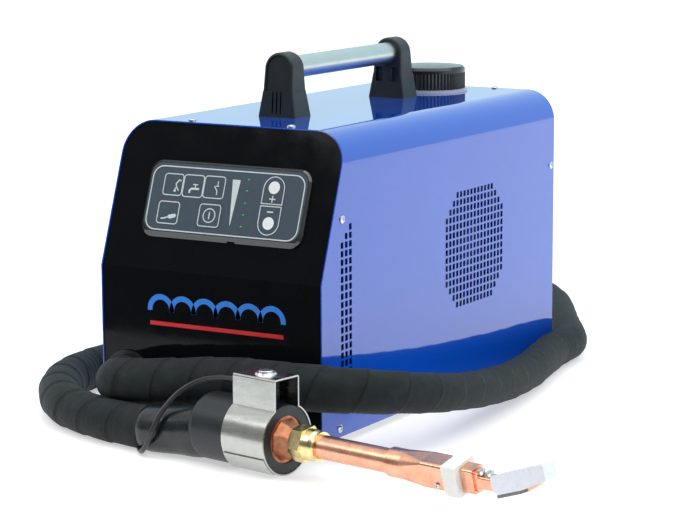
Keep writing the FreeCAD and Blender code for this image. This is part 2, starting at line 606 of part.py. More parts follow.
PIVOT_Y = YR - 5.0
switch = fuse([box(SWITCH_X - 15, SWITCH_X + 15, YR - PANEL_RECESS, YR + 1, SWITCH_Z - 12, SWITCH_Z + 12),
               box(SWITCH_X - 13, SWITCH_X + 13, YR - 26, YR, SWITCH_Z - 10, SWITCH_Z + 10)])
switch_pocket = box(SWITCH_X - 10, SWITCH_X + 10, YR - 14, YR + 2, SWITCH_Z - 7.6, SWITCH_Z + 7.6)
pivot_holes = cyl_x(1.56, SWITCH_X - 12, SWITCH_X + 12, PIVOT_Y, SWITCH_Z)
save("main_switch_body", switch.cut(switch_pocket).cut(pivot_holes))
paddle = prism([V(SWITCH_X - 9.6, PIVOT_Y - 5.5, SWITCH_Z - 3.5), V(SWITCH_X - 9.6, PIVOT_Y + 7.4, SWITCH_Z - 6.2),
                V(SWITCH_X - 9.6, PIVOT_Y + 6.2, SWITCH_Z), V(SWITCH_X - 9.6, PIVOT_Y + 7.4, SWITCH_Z + 6.2),
                V(SWITCH_X - 9.6, PIVOT_Y - 5.5, SWITCH_Z + 3.5)], V(19.2, 0, 0))
rocker = fuse([paddle, cyl_x(1.5, SWITCH_X - 11.7, SWITCH_X + 11.7, PIVOT_Y, SWITCH_Z)])
rocker.rotate(V(SWITCH_X, PIVOT_Y, SWITCH_Z), V(1, 0, 0), -7)     # rests tipped to its off side
save("main_switch_rocker", rocker)


# ---------------------------------------------------------------- hose and trigger lead
def along(points, radius, name):
    """Tube of straight runs joined by tangent arcs, each arc as large as its two runs allow."""
    edges = []
    start = points[0]
    length = 0.0
    for before, corner, after in zip(points, points[1:], points[2:]):
        run_in = corner.sub(before)
        run_out = after.sub(corner)
        turn = run_in.getAngle(run_out)
        shorter = min(run_in.Length, run_out.Length)
        reach = 0.45 * shorter
        bend = reach / math.tan(turn / 2)
        unit_in = V(run_in).normalize()
        unit_out = V(run_out).normalize()
        arc_start = corner.sub(unit_in * reach)
        arc_end = corner.add(unit_out * reach)
        bisector = unit_out.sub(unit_in).normalize()
        middle = corner.add(bisector * (bend / math.cos(turn / 2) - bend))
        edges.append(Part.LineSegment(start, arc_start).toShape())
        edges.append(Part.Arc(arc_start, middle, arc_end).toShape())
        length += start.distanceToPoint(arc_start) + bend * turn
        start = arc_end
        print("  bend of", name, round(bend / radius / 2, 1), "diameters,", round(bend), "mm")
    edges.append(Part.LineSegment(start, points[-1]).toShape())
    length += start.distanceToPoint(points[-1])
    path = Part.Wire(edges)
    first = V(points[1].sub(points[0])).normalize()
    section = Part.Wire(Part.makeCircle(radius, points[0], first))
    tube = path.makePipeShell([section], True, True)
    ratio = tube.Volume / (math.pi * radius ** 2 * length)
    print("  ", name, "length", round(length), "volume against section times length", round(ratio, 4))
    return tube


HOSE_R = HOSE_D / 2
hose_points = [
    V(HOSE_EXIT_X, YF + 8, HOSE_EXIT_Z),          # seat in the front gland
    V(HOSE_EXIT_X, YF - 15.5, HOSE_EXIT_Z + 0.8),
    V(HOSE_EXIT_X + 7.5, YF - 28.5, HOSE_EXIT_Z + 2.8),
    V(HOSE_EXIT_X + 21, YF - 36, HOSE_EXIT_Z + 5),  # leans across the front of the case
    V(-33, YF - 36, 57.5),
    V(15, YF - 31, 62.5),
    V(62, YF - 29, 66),
    V(106, YF - 29, 67),
    V(144.5, YF - 17, 66),
    V(174, YF + 10, 62),
    V(192, YF + 46, 56),
    V(200, YF + 90, 48),
    V(200, YF + 145, 39),                         # down to the floor beside the case
    V(193, YF + 225, 28),
    V(178, YF + 320, HOSE_R + 0.6),
    V(160, YF + 400, HOSE_R + 0.1),
    V(151, YF + 440, HOSE_R + 0.3),
    V(149, YF + 470, HOSE_R + 0.2),
    V(144.5, YF + 502, HOSE_R + 0.1),             # round the rear right corner
    V(121, YF + 540, HOSE_R + 0.2),
    V(93, YF + 586, HOSE_R + 0.1),
    V(68, YF + 632, HOSE_R + 0.3),
    V(38, YF + 684, HOSE_R + 0.1),                # wide loop behind the case
    V(-2, YF + 730, HOSE_R + 0.2),
    V(-56, YF + 762, HOSE_R + 0.1),
    V(-118, YF + 768, HOSE_R + 0.3),
    V(-174, YF + 746, HOSE_R + 0.1),
    V(-213, YF + 697, HOSE_R + 0.3),
    V(-230, YF + 620, HOSE_R + 0.1),              # forward along the left side
    V(-229, YF + 510, HOSE_R + 0.3),
    V(-226, YF + 400, HOSE_R + 0.1),
    V(-231, YF + 280, HOSE_R + 0.3),
    V(-229, YF + 180, HOSE_R + 0.3),
    V(-230.5, YF + 112, HOSE_R + 0.1),
    V(-220, YF + 67, HOSE_R + 0.3),               # tight fold at the front left corner
    V(-205, YF + 38, HOSE_R + 0.6),
    V(-190, YF + 14, HOSE_R + 0.8),
    V(-166, YF - 14, HOSE_R + 0.6),
    V(-141, YF - 34, HOSE_R + 0.3),
    V(-95, YF - 54.5, HOSE_R + 0.1),
    V(-55, YF - 63, HOSE_R + 0.3),
    V(-16, YF - 70, HOSE_R + 1.5),
    torch_point(-118, -5, -8),
    torch_point(-78, 0, -2),                      # inside the grip
]
save("power_hose", along(hose_points, HOSE_R, "power_hose"))

gland = fuse([cyl_y(GLAND_BODY_R, YF + PANEL_RECESS - 0.5, YF + 14, HOSE_EXIT_X, HOSE_EXIT_Z),
              cyl_y(GLAND_FLANGE_R, YF + PANEL_RECESS - 4, YF + PANEL_RECESS, HOSE_EXIT_X, HOSE_EXIT_Z)])
gland = gland.cut(cyl_y(HOSE_R + 0.3, YF - 10, YF + 8, HOSE_EXIT_X, HOSE_EXIT_Z))
save("hose_gland", gland)

sleeve_a = V(-24, YF - 71.0, HOSE_R + 1.8)
sleeve_b = torch_point(-TORCH_L + 4, 0, -4.5)
sleeve_axis = sleeve_b.sub(sleeve_a)
sleeve = Part.makeCone(HOSE_R + 1.0, HOSE_R + 3.2, 30, sleeve_a, sleeve_axis)
sleeve_tail = Part.makeCylinder(HOSE_R + 3.2, sleeve_axis.Length - 30,
                                sleeve_a + V(sleeve_axis).normalize() * 30, sleeve_axis)
sleeve_bore = Part.makeCylinder(HOSE_R + 0.4, sleeve_axis.Length + 2,
                                sleeve_a - V(sleeve_axis).normalize(), sleeve_axis)
save("heat_shrink", fuse([sleeve, sleeve_tail]).cut(sleeve_bore))

lead_points = [
    torch_point(-41.0, 0, 43.5),                  # back of the trigger switch
    torch_point(-57, 1, 46),
    torch_point(-76, 2, 46),
    torch_point(-96, 1, 43),
    torch_point(-110, -2, 38),
    torch_point(-119, -8, 32),
    torch_point(-124, -15, 26),
    torch_point(-128, -22, 18),
    torch_point(-131, -29, 10),
    torch_point(-132, -34, 2),
    torch_point(-134, -37.5, -7),
    torch_point(-138, -38.5, -16),
    torch_point(-144, -37.5, -24),
    torch_point(-153, -33, -29.5),
    torch_point(-163, -25, -30.6),
    torch_point(-175, -15, -30.5),
]
save("trigger_lead", along(lead_points, LEAD_D / 2, "trigger_lead"))


# ---------------------------------------------------------------- torch
grip = cyl_x(TORCH_R, -TORCH_L, 0)
grip = rounded(grip, 9.0, lambda e: e.CenterOfMass.x < -TORCH_L + 0.1 and e.Length > 50)
grip = rounded(grip, 1.2, lambda e: e.CenterOfMass.x > -0.1 and e.Length > 50)
grip_bore = cyl_x(HOSE_R + 5.0, -TORCH_L - 1, -11)
front_bore = cyl_x(21.8, -12, 1)
save("torch_grip", on_torch(grip.cut(grip_bore).cut(front_bore)))

SPIGOT_R = PIPE_D / 2
adapter = [cyl_x(21.6, -10.9, -1.5)]
octagon_back = [V(0.0, 19.5 * math.cos(math.radians(45 * k + 22.5)), 19.5 * math.sin(math.radians(45 * k + 22.5)))
                for k in range(8)]
octagon_front = [V(13.0, p.y * 0.66, p.z * 0.66) for p in octagon_back]
octagon_root = [V(-1.5, p.y, p.z) for p in octagon_back]
wires = [Part.makePolygon(ring + [ring[0]]) for ring in (octagon_root, octagon_back, octagon_front)]
adapter.append(Part.makeLoft(wires[:2], True, True))
adapter.append(Part.makeLoft(wires[1:], True, True))
adapter.append(cyl_x(SPIGOT_R, 13, 33))
save("torch_adapter", on_torch(fuse(adapter)))

NUT_AF = 30.0
nut_r = NUT_AF / 2 / math.cos(math.radians(30))
nut = prism([V(14.2, nut_r * math.cos(math.radians(60 * k + 8)), nut_r * math.sin(math.radians(60 * k + 8)))
             for k in range(6)], V(13.3, 0, 0))
nut = nut.common(cone_x(nut_r - 1.8, nut_r + 6, 14.2, 22).fuse(cyl_x(nut_r + 6, 22, 27.5)))
nut_parts = [nut, cone_x(NUT_AF / 2 - 0.2, NUT_AF / 2 - 0.9, 27.5, 35.5), cone_x(NUT_AF / 2 - 0.9, 12.8, 35.5, 39.5)]
save("union_nut", on_torch(fuse(nut_parts).cut(cyl_x(SPIGOT_R + 0.06, 14, 41))))
save("thrust_ring", on_torch(cyl_x(13.4, 39.8, 42.0).cut(cyl_x(SPIGOT_R + 0.06, 39, 43))))
PIPE_END = 128.0
save("lance_pipe", on_torch(cyl_x(SPIGOT_R, 33, PIPE_END).cut(cyl_x(SPIGOT_R - 1.5, 32, PIPE_END + 1))))

ROLL = FreeCAD.Rotation(V(1, 0, 0), 16)
SOCKET_0 = 123.4
SOCKET_1 = 188.5


def round_rect(x, half_y, half_z, radius):
    """Rounded rectangle in a plane across the lance, as a wire with eight edges."""
    edges = []
    corners = [(1, 1), (-1, 1), (-1, -1), (1, -1)]
    ends = []
    for sy, sz in corners:
        centre = V(x, sy * (half_y - radius), sz * (half_z - radius))
        first = math.degrees(math.atan2(sz, sy)) - 45
        arc_points = [centre + V(0, radius * math.cos(math.radians(first + a)),
                                 radius * math.sin(math.radians(first + a))) for a in (0, 45, 90)]
        ends.append(arc_points)
    for k in range(4):
        edges.append(Part.Arc(*ends[k]).toShape())
        edges.append(Part.LineSegment(ends[k][2], ends[(k + 1) % 4][0]).toShape())
    return Part.Wire(edges)


sections = [round_rect(SOCKET_0 + 16, 13.2, 13.2, 13.0), round_rect(SOCKET_0 + 40, 11.6, 12.4, 3.5)]
socket = fuse([cyl_x(13.2, SOCKET_0, SOCKET_0 + 16), Part.makeLoft(sections, True, True),
               Part.Face(round_rect(SOCKET_0 + 40, 11.6, 12.4, 3.5)).extrude(V(SOCKET_1 - SOCKET_0 - 40, 0, 0))])
socket = socket.cut(cyl_x(SPIGOT_R, SOCKET_0 - 1, PIPE_END))
socket_screw_at = V(SOCKET_1 - 9, -11.6, -6.5)
socket = socket.cut(Part.makeCylinder(1.6, 6, socket_screw_at, V(0, 1, 0)))
save("lance_socket", on_torch(placed(socket, V(0, 0, 0), ROLL)))
small_screw = pan_screw(2.6, 1.7, 1.55, 5.0)
small_screw = placed(small_screw, socket_screw_at, FreeCAD.Rotation(V(1, 0, 0), 90))
save("socket_screw", on_torch(placed(small_screw, V(0, 0, 0), ROLL)))

BLOCK_1 = SOCKET_1 + 15.0
block = Part.Face(round_rect(SOCKET_1, 14.0, 14.5, 2.0)).extrude(V(BLOCK_1 - SOCKET_1, 0, 0))
lead_slot = box(SOCKET_1 - 1, BLOCK_1 + 1, -6.1, 6.1, -9.1, 9.1)
save("insulator_block", on_torch(placed(block.cut(lead_slot), V(0, 0, 0), ROLL)))

stub = Part.Face(round_rect(SOCKET_1, 6.0, 9.0, 1.5)).extrude(V(32, 0, 0))
stub = fuse([stub, Part.Face(round_rect(BLOCK_1, 8.0, 11.5, 2.5)).extrude(V(13, 0, 0)),
             Part.Face(round_rect(SOCKET_1 + 30, 6.0, 6.0, 2.0)).extrude(V(20, 0, 0))])
clamp = []
seats = []
for s in (SOCKET_1 + 33, SOCKET_1 + 42):
    clamp_screw = fuse([cyl_z(3.4, 6.0, 10.0, s, 0), cyl_z(1.6, 3.0, 6.0, s, 0)])
    clamp.append(clamp_screw.cut(box(s - 0.5, s + 0.5, -4, 4, 9, 11)))
    seats.append(cyl_z(3.6, 6.0, 13.0, s, 0))
    seats.append(cyl_z(1.65, 2.9, 7.0, s, 0))
stub = placed(cut(stub, seats), V(0, 0, 0), ROLL)
save("clamp_screws", on_torch(placed(Part.makeCompound(clamp), V(0, 0, 0), ROLL)))

HEAD_L = 57.0
HEAD_TILT = -19.0
head_at = V(SOCKET_1 + 48.0, 0, -1.0)
head_turn = FreeCAD.Rotation(V(0, 1, 0), HEAD_TILT)
side_view = [V(0, -8.5, -5.0), V(4, -8.5, -8.0), V(30, -8.5, -8.0), V(HEAD_L, -8.5, -4.5),
             V(HEAD_L, -8.5, 8.0), V(HEAD_L - 1, -8.5, 9.0), V(2, -8.5, 8.5), V(0, -8.5, 6.5)]
head = prism(side_view, V(0, 17, 0))
head = rounded(head, 0.8, lambda e: edge_runs_along(e, V(0, 1, 0)))
lead_pocket = Part.Face(round_rect(SOCKET_1 + 30, 6.1, 6.1, 2.0)).extrude(V(20.2, 0, 0))
lead_pocket = placed(lead_pocket, V(0, 0, 0), ROLL)
save("inductor_core", on_torch(placed(head, head_at, head_turn).cut(lead_pocket)))
strip = fuse([box(2, 27, -7.5, 7.5, -11.0, -8.0), box(27, 30, -7.5, 7.5, -10.4, -8.0)])
save("ferrite_strip", on_torch(placed(strip, head_at, head_turn)))
loop = prism([V(30.2, -4, -8.0), V(32, -4, -10.2), V(38, -4, -9.2), V(43, -4, -7.6), V(45.5, -4, -6.1)],
             V(0, 8, 0))
loop = placed(loop, head_at, head_turn)
save("inductor_lead", on_torch(Part.makeCompound([stub, loop])))

# strap-on trigger: one bent strip round the grip, boxed out on top for the switch
CLIP_S = (-50.5, 0.4)
CLIP_HALF = 16.3
CLIP_TOP = 57.0
r_in = TORCH_R + 0.1
r_out = TORCH_R + CLIP_T
strap = fuse([cyl_x(r_out, CLIP_S[0], CLIP_S[1]),
              box(CLIP_S[0], CLIP_S[1], -CLIP_HALF, CLIP_HALF, 0, CLIP_TOP)])
strap = rounded(strap, 2.2, lambda e: edge_runs_along(e, V(1, 0, 0)) and e.CenterOfMass.z > CLIP_TOP - 1)
hollow = fuse([cyl_x(r_in, CLIP_S[0] - 1, CLIP_S[1] + 1),
               box(CLIP_S[0] - 1, CLIP_S[1] + 1, -CLIP_HALF + CLIP_T, CLIP_HALF - CLIP_T, 0, CLIP_TOP - CLIP_T)])
lap = cyl_x(r_out + 1.2, CLIP_S[0] + 1, CLIP_S[1] - 1).cut(cyl_x(r_out, CLIP_S[0] - 1, CLIP_S[1] + 1))
lap_window = prism([V(CLIP_S[0], 0, 0), V(CLIP_S[0], -60, -26), V(CLIP_S[0], -60, -60), V(CLIP_S[0], -34, -60)],
                   V(60, 0, 0))
lap = lap.common(lap_window)
BUTTON_S = (CLIP_S[0] + CLIP_S[1]) / 2
clip = fuse([strap.cut(hollow), lap]).cut(cyl_z(8.2, 40, 70, BUTTON_S, 0))
save("switch_clip", on_torch(clip))

switch_block = box(BUTTON_S - 15.5, BUTTON_S + 8.5, -8.5, 8.5, TORCH_R + 1.0, CLIP_TOP - CLIP_T)
button_well = cyl_z(6.9, CLIP_TOP - 12, CLIP_TOP, BUTTON_S, 0)
save("trigger_switch", on_torch(fuse([switch_block, cyl_z(8.1, CLIP_TOP - CLIP_T, CLIP_TOP, BUTTON_S, 0)]).cut(
    button_well)))
ring_outer = Part.makeCone(10.2, 9.2, 1.8, V(BUTTON_S, 0, CLIP_TOP), V(0, 0, 1))
save("button_ring", on_torch(ring_outer.cut(cyl_z(6.9, CLIP_TOP - 1, CLIP_TOP + 4, BUTTON_S, 0))))
BUTTON_TRAVEL = 1.5
button = cyl_z(6.6, CLIP_TOP - 9, CLIP_TOP + 3.4, BUTTON_S, 0)
button = rounded(button, 0.8, lambda e: e.CenterOfMass.z > CLIP_TOP + 3 and e.Length > 30)
save("push_button", on_torch(button))
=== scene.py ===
import math

import bpy
import numpy as np
from mathutils import Matrix, Vector, noise


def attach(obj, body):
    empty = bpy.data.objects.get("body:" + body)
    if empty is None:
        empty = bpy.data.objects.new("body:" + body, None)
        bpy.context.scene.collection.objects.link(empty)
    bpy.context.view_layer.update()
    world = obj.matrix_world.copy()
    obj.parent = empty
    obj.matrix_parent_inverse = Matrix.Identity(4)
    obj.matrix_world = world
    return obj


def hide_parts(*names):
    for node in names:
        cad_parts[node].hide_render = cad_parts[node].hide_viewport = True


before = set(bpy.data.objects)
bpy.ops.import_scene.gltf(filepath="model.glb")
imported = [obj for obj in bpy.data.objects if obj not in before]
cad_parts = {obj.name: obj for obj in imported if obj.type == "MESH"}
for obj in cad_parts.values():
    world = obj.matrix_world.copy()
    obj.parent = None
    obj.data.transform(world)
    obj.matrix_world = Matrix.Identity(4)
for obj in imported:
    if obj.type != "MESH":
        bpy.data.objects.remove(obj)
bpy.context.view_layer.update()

# Looks of a portable liquid-cooled induction heater, on the frame that the CAD model gives.
# Metres, in the CAD frame: +X right, +Y back, +Z up, origin under the middle of the case.

MM = 0.001

# ---------------------------------------------------------------- places repeated from the CAD
YF = -0.2468                       # front edge of the cover
Z0 = 0.008                         # underside of the case
KNEE_Z = 0.1576                    # bend between the lower front and the sloping control panel
SLOPE_ANGLE = math.atan2(138.3, 49.4)   # its rise over its run back
PANEL_FRONT = YF + 1 * MM
BEZEL_T = 4.2 * MM
KEY_TOP = BEZEL_T + 0.35 * MM
HOSE_D = 0.040
HOSE_R = HOSE_D / 2
LEAD_D = 0.005
TORCH_POS = Vector((0.1397, YF - 0.0860, 0.0333))
TORCH_HEADING = math.radians(-10.2)
TORCH_PLACE = Matrix.Translation(TORCH_POS) @ Matrix.Rotation(TORCH_HEADING, 4, "Z")
SLOPE_PLACE = Matrix.Translation((0, PANEL_FRONT, KNEE_Z)) @ Matrix.Rotation(SLOPE_ANGLE, 4, "X")
# the lower front face is upright: local x, height above the case bottom, distance out of the face
FRONT_PLACE = Matrix.Translation((0, PANEL_FRONT, Z0)) @ Matrix.Rotation(math.radians(90), 4, "X")


def torch_point(s, n, z):
    """Millimetres along the lance, across it and up, from the middle of the grip's front face."""
    return TORCH_PLACE @ Vector((s * MM, n * MM, z * MM))


# ---------------------------------------------------------------- camera
CAMERA_AT = (1.2490, -2.1170, 0.5548)
CAMERA_YAW = math.radians(30.315)
CAMERA_PITCH = math.radians(9.741)
CAMERA_ROLL = math.radians(-0.19)
CAMERA_LENS = 123.76               # mm, for a sensor 36 mm wide


def place_camera():
    yaw = CAMERA_YAW
    pitch = CAMERA_PITCH
    roll = CAMERA_ROLL
    ahead = math.cos(pitch)
    forward = Vector((-math.sin(yaw) * ahead, math.cos(yaw) * ahead, -math.sin(pitch)))
    level = Vector((math.cos(yaw), math.sin(yaw), 0))
    up = level.cross(forward)
    right = level * math.cos(roll) + up * math.sin(roll)
    above = up * math.cos(roll) - level * math.sin(roll)
    data = bpy.data.cameras.new("camera")
    data.lens = CAMERA_LENS
    data.sensor_width = 36.0
    data.clip_end = 60.0
    camera = bpy.data.objects.new("camera", data)
    bpy.context.scene.collection.objects.link(camera)
    turn = Matrix((right, above, -forward)).transposed().to_4x4()
    camera.matrix_world = Matrix.Translation(CAMERA_AT) @ turn
    bpy.context.scene.camera = camera


place_camera()


# ---------------------------------------------------------------- materials
def node_material(name):
    material = bpy.data.materials.new(name)
    material.use_nodes = True
    return material, material.node_tree.nodes, material.node_tree.links


def noise_node(nodes, links, vector, scale, detail=3.0, roughness=0.55):
    node = nodes.new("ShaderNodeTexNoise")
    node.inputs["Scale"].default_value = scale
    node.inputs["Detail"].default_value = detail
    node.inputs["Roughness"].default_value = roughness
    links.new(vector, node.inputs["Vector"])
    return node.outputs["Fac"]


def ramp_node(nodes, links, value, stops):
    node = nodes.new("ShaderNodeValToRGB")
    links.new(value, node.inputs["Fac"])
    elements = node.color_ramp.elements
    elements[0].position = stops[0][0]
    elements[0].color = (*stops[0][1], 1)
    elements[1].position = stops[-1][0]
    elements[1].color = (*stops[-1][1], 1)
    for position, colour in stops[1:-1]:
        elements.new(position).color = (*colour, 1)
    return node.outputs["Color"]


def range_node(nodes, links, value, low, high, start=0.3, end=0.7):
    node = nodes.new("ShaderNodeMapRange")
    node.inputs["From Min"].default_value = start
    node.inputs["From Max"].default_value = end
    node.inputs["To Min"].default_value = low
    node.inputs["To Max"].default_value = high
    links.new(value, node.inputs["Value"])
    return node.outputs["Result"]


def bump_node(nodes, links, height, distance, strength=1.0, below=None):
    node = nodes.new("ShaderNodeBump")
    node.inputs["Strength"].default_value = strength
    node.inputs["Distance"].default_value = distance
    links.new(height, node.inputs["Height"])
    if below is not None:
        links.new(below, node.inputs["Normal"])
    return node.outputs["Normal"]


GLASSY_IOR = 1.5
LEAST_ROUGH = 0.02
SCUFF_SCALE = 0.15                 # scuffs against the grain, in noise scale


def scaled(colour, factor):
    return tuple(min(1.0, c * factor) for c in colour)


def surface(name, colour, rough, metal=0.0, mottle=0.10, mottle_scale=30.0, rough_spread=0.05,
            grain_scale=900.0, grain=0.03, stretch=(1, 1, 1), turn=(0, 0, 0), coat=0.0, coat_rough=0.03,
            specular=0.5, subsurface=0.0, tint=None, glow=0.0):
    """Procedural finish: colour mottle from colour to tint, uneven roughness, and a grain in mm of height."""
    material, nodes, links = node_material(name)
    shader = nodes["Principled BSDF"]
    coords = nodes.new("ShaderNodeTexCoord")
    mapping = nodes.new("ShaderNodeMapping")
    mapping.inputs["Scale"].default_value = stretch
    mapping.inputs["Rotation"].default_value = turn
    links.new(coords.outputs["Object"], mapping.inputs["Vector"])
    patches = noise_node(nodes, links, coords.outputs["Object"], mottle_scale)
    dark = scaled(colour, 1 - mottle)
    light = scaled(tint or colour, 1 + mottle)
    links.new(ramp_node(nodes, links, patches, [(0.30, dark), (0.70, light)]), shader.inputs["Base Color"])
    fine = noise_node(nodes, links, mapping.outputs["Vector"], grain_scale, detail=2.0)
    scuffs = noise_node(nodes, links, mapping.outputs["Vector"], grain_scale * SCUFF_SCALE, detail=4.0)
    low = max(LEAST_ROUGH, rough - rough_spread)
    links.new(range_node(nodes, links, scuffs, low, rough + rough_spread), shader.inputs["Roughness"])
    if grain > 0:
        links.new(bump_node(nodes, links, fine, grain * MM), shader.inputs["Normal"])
    shader.inputs["Metallic"].default_value = metal
    shader.inputs["IOR"].default_value = GLASSY_IOR
    shader.inputs["Specular IOR Level"].default_value = specular
    shader.inputs["Coat Weight"].default_value = coat
    shader.inputs["Coat Roughness"].default_value = coat_rough
    if glow > 0:
        shader.inputs["Emission Color"].default_value = (1, 1, 1, 1)
        shader.inputs["Emission Strength"].default_value = glow
    if subsurface > 0:
        shader.inputs["Subsurface Weight"].default_value = subsurface
        shader.inputs["Subsurface Scale"].default_value = 4 * MM
    return material


enamel_blue = surface("enamel_blue", (0.001, 0.074, 0.52), 0.06, mottle=0.04, mottle_scale=3.0,
                      rough_spread=0.02, grain_scale=260, grain=0.012, coat=0.8, coat_rough=0.02)
panel_gloss = surface("panel_gloss", (0.0040, 0.0048, 0.006), 0.08, mottle=0.10, rough_spread=0.03,
                      grain_scale=300, grain=0.01, specular=0.16)
rear_satin = surface("rear_satin", (0.016, 0.016, 0.018), 0.42, grain_scale=1400, grain=0.05)
zinc_plate = surface("zinc_plate", (0.60, 0.61, 0.63), 0.34, metal=1.0, mottle=0.16, mottle_scale=90,
                     grain_scale=700, grain=0.02)
screw_zinc = surface("screw_zinc", (0.74, 0.75, 0.78), 0.22, metal=1.0, mottle=0.10, mottle_scale=400,
                     grain_scale=2500, grain=0.02)
shank_plastic = surface("shank_plastic", (0.018, 0.025, 0.027), 0.40, mottle=0.10, mottle_scale=120,
                        grain_scale=2400, grain=0.10, specular=0.4)
tube_anodised = surface("tube_anodised", (0.62, 0.66, 0.63), 0.33, metal=1.0, mottle=0.03, mottle_scale=60,
                        grain_scale=1100, grain=0.03, stretch=(1, 0.02, 1))
bezel_gloss = surface("bezel_gloss", (0.012, 0.014, 0.016), 0.16, mottle=0.08, grain_scale=900, grain=0.01,
                      coat=0.8)
overlay_film = surface("overlay_film", (0.040, 0.066, 0.094), 0.42, mottle=0.06, mottle_scale=200,
                       grain_scale=3500, grain=0.02, specular=0.4)
board_green = surface("board_green", (0.01, 0.12, 0.05), 0.35, mottle=0.2, mottle_scale=300,
                      grain_scale=800)
led_green = surface("led_green", (0.01, 0.26, 0.09), 0.12, mottle=0.15, mottle_scale=500, coat=0.8,
                    grain=0.0)
tank_white = surface("tank_white", (0.72, 0.75, 0.72), 0.4, mottle=0.05, subsurface=0.2)
neck_grey = surface("neck_grey", (0.62, 0.64, 0.66), 0.3, mottle=0.05, mottle_scale=150, grain=0.02)
cap_black = surface("cap_black", (0.016, 0.019, 0.020), 0.17, mottle=0.10, mottle_scale=90,
                    grain_scale=1800, grain=0.03)
seal_rubber = surface("seal_rubber", (0.02, 0.02, 0.02), 0.6, grain_scale=1500, grain=0.05)
fan_black = surface("fan_black", (0.014, 0.014, 0.015), 0.45, grain_scale=1500, grain=0.05)
radiator_fins = surface("radiator_fins", (0.68, 0.69, 0.70), 0.35, metal=1.0, mottle=0.12,
                        stretch=(1, 1, 12))
pump_black = surface("pump_black", (0.02, 0.02, 0.022), 0.5, grain_scale=1300, grain=0.06)
motor_grey = surface("motor_grey", (0.12, 0.125, 0.13), 0.4, mottle=0.12, grain_scale=1200, grain=0.05)
sink_aluminium = surface("sink_aluminium", (0.70, 0.71, 0.72), 0.38, metal=1.0, mottle=0.08,
                         stretch=(1, 0.03, 1))
can_sleeve = surface("can_sleeve", (0.02, 0.03, 0.07), 0.35, mottle=0.1, coat=0.3)
ferrite_core = surface("ferrite_core", (0.05, 0.05, 0.052), 0.55, mottle=0.2, mottle_scale=250,
                       grain_scale=1500, grain=0.06)
winding_copper = surface("winding_copper", (0.72, 0.34, 0.18), 0.3, metal=1.0, mottle=0.2,
                         stretch=(1, 1, 20))
gland_black = surface("gland_black", (0.015, 0.015, 0.016), 0.42, grain_scale=1300, grain=0.05)
switch_black = surface("switch_black", (0.012, 0.012, 0.013), 0.22, grain_scale=1600, grain=0.02)
grip_rubber = surface("grip_rubber", (0.010, 0.015, 0.018), 0.36, mottle=0.16, mottle_scale=60,
                      rough_spread=0.08, grain_scale=1500, grain=0.04, specular=0.45)
copper = surface("copper_bright", (0.80, 0.40, 0.26), 0.27, metal=1.0, mottle=0.06, mottle_scale=90,
                 tint=(0.88, 0.47, 0.32), rough_spread=0.06, grain_scale=1600, grain=0.03,
                 stretch=(0.12, 1, 1), turn=(0, 0, -TORCH_HEADING))
copper_dull = surface("copper_dull", (0.42, 0.17, 0.085), 0.42, metal=1.0, mottle=0.16, mottle_scale=160,
                      tint=(0.52, 0.22, 0.12), rough_spread=0.08, grain_scale=900, grain=0.06)
brass = surface("brass_polished", (0.84, 0.66, 0.30), 0.24, metal=1.0, mottle=0.06, mottle_scale=200,
                tint=(0.92, 0.78, 0.42), rough_spread=0.05, grain_scale=1200, grain=0.02)
insulator_white = surface("insulator_white", (0.82, 0.84, 0.80), 0.38, mottle=0.03, mottle_scale=180,
                          subsurface=0.3, grain_scale=1200, grain=0.02)
coil_white = surface("coil_white", (0.80, 0.82, 0.88), 0.30, mottle=0.03, mottle_scale=200, grain_scale=900,
                     grain=0.03)
ferrite_grey = surface("ferrite_grey", (0.20, 0.20, 0.19), 0.5, mottle=0.3, mottle_scale=500,
                       grain_scale=1800, grain=0.08)
clip_steel = surface("clip_steel", (0.50, 0.51, 0.48), 0.24, metal=1.0, mottle=0.04, mottle_scale=120,
                     rough_spread=0.06, grain_scale=1500, grain=0.025, stretch=(0.04, 1, 1),
                     turn=(0, 0, -TORCH_HEADING))
button_chrome = surface("button_chrome", (0.80, 0.80, 0.77), 0.30, metal=1.0, mottle=0.05, mottle_scale=500,
                        grain_scale=2200, grain=0.01)
foot_rubber = surface("foot_rubber", (0.02, 0.02, 0.02), 0.62, grain_scale=1400, grain=0.06)
print_white = surface("print_white", (0.62, 0.70, 0.72), 0.45, mottle=0.05, mottle_scale=900,
                      grain_scale=3500, grain=0.01)
disc_white = surface("disc_white", (0.86, 0.90, 0.88), 0.45, mottle=0.03, mottle_scale=900,
                     grain_scale=3500, grain=0.01)
print_blue = surface("print_blue", (0.03, 0.24, 0.82), 0.32, mottle=0.05, mottle_scale=500,
                     grain_scale=3000, grain=0.01)
print_red = surface("print_red", (0.74, 0.015, 0.02), 0.32, mottle=0.06, mottle_scale=500, grain_scale=3000,
                    grain=0.01)
floor_paper = surface("floor_paper", (0.64, 0.64, 0.64), 0.75, mottle=0.01, mottle_scale=2.0,
                      rough_spread=0.05, grain_scale=60, grain=0.02, specular=0.2, glow=0.50)


TAPE_PITCH = 0.040                 # metres of hose from one lap of the tape to the next
LAP_WOBBLE = 0.16                  # unevenness of the laps, in laps
LAP_EDGE = (0.02, 0.075)           # part of a lap over which the shadow of its edge fades
THREAD_PITCH = 1.1 * MM
THREADS_ROUND = 120
CLOTH_SHADES = [(0.28, (0.007, 0.011, 0.012)), (0.55, (0.011, 0.016, 0.017)), (0.78, (0.017, 0.023, 0.024))]
LAP_SHADOW = (0.004, 0.005, 0.005, 1)


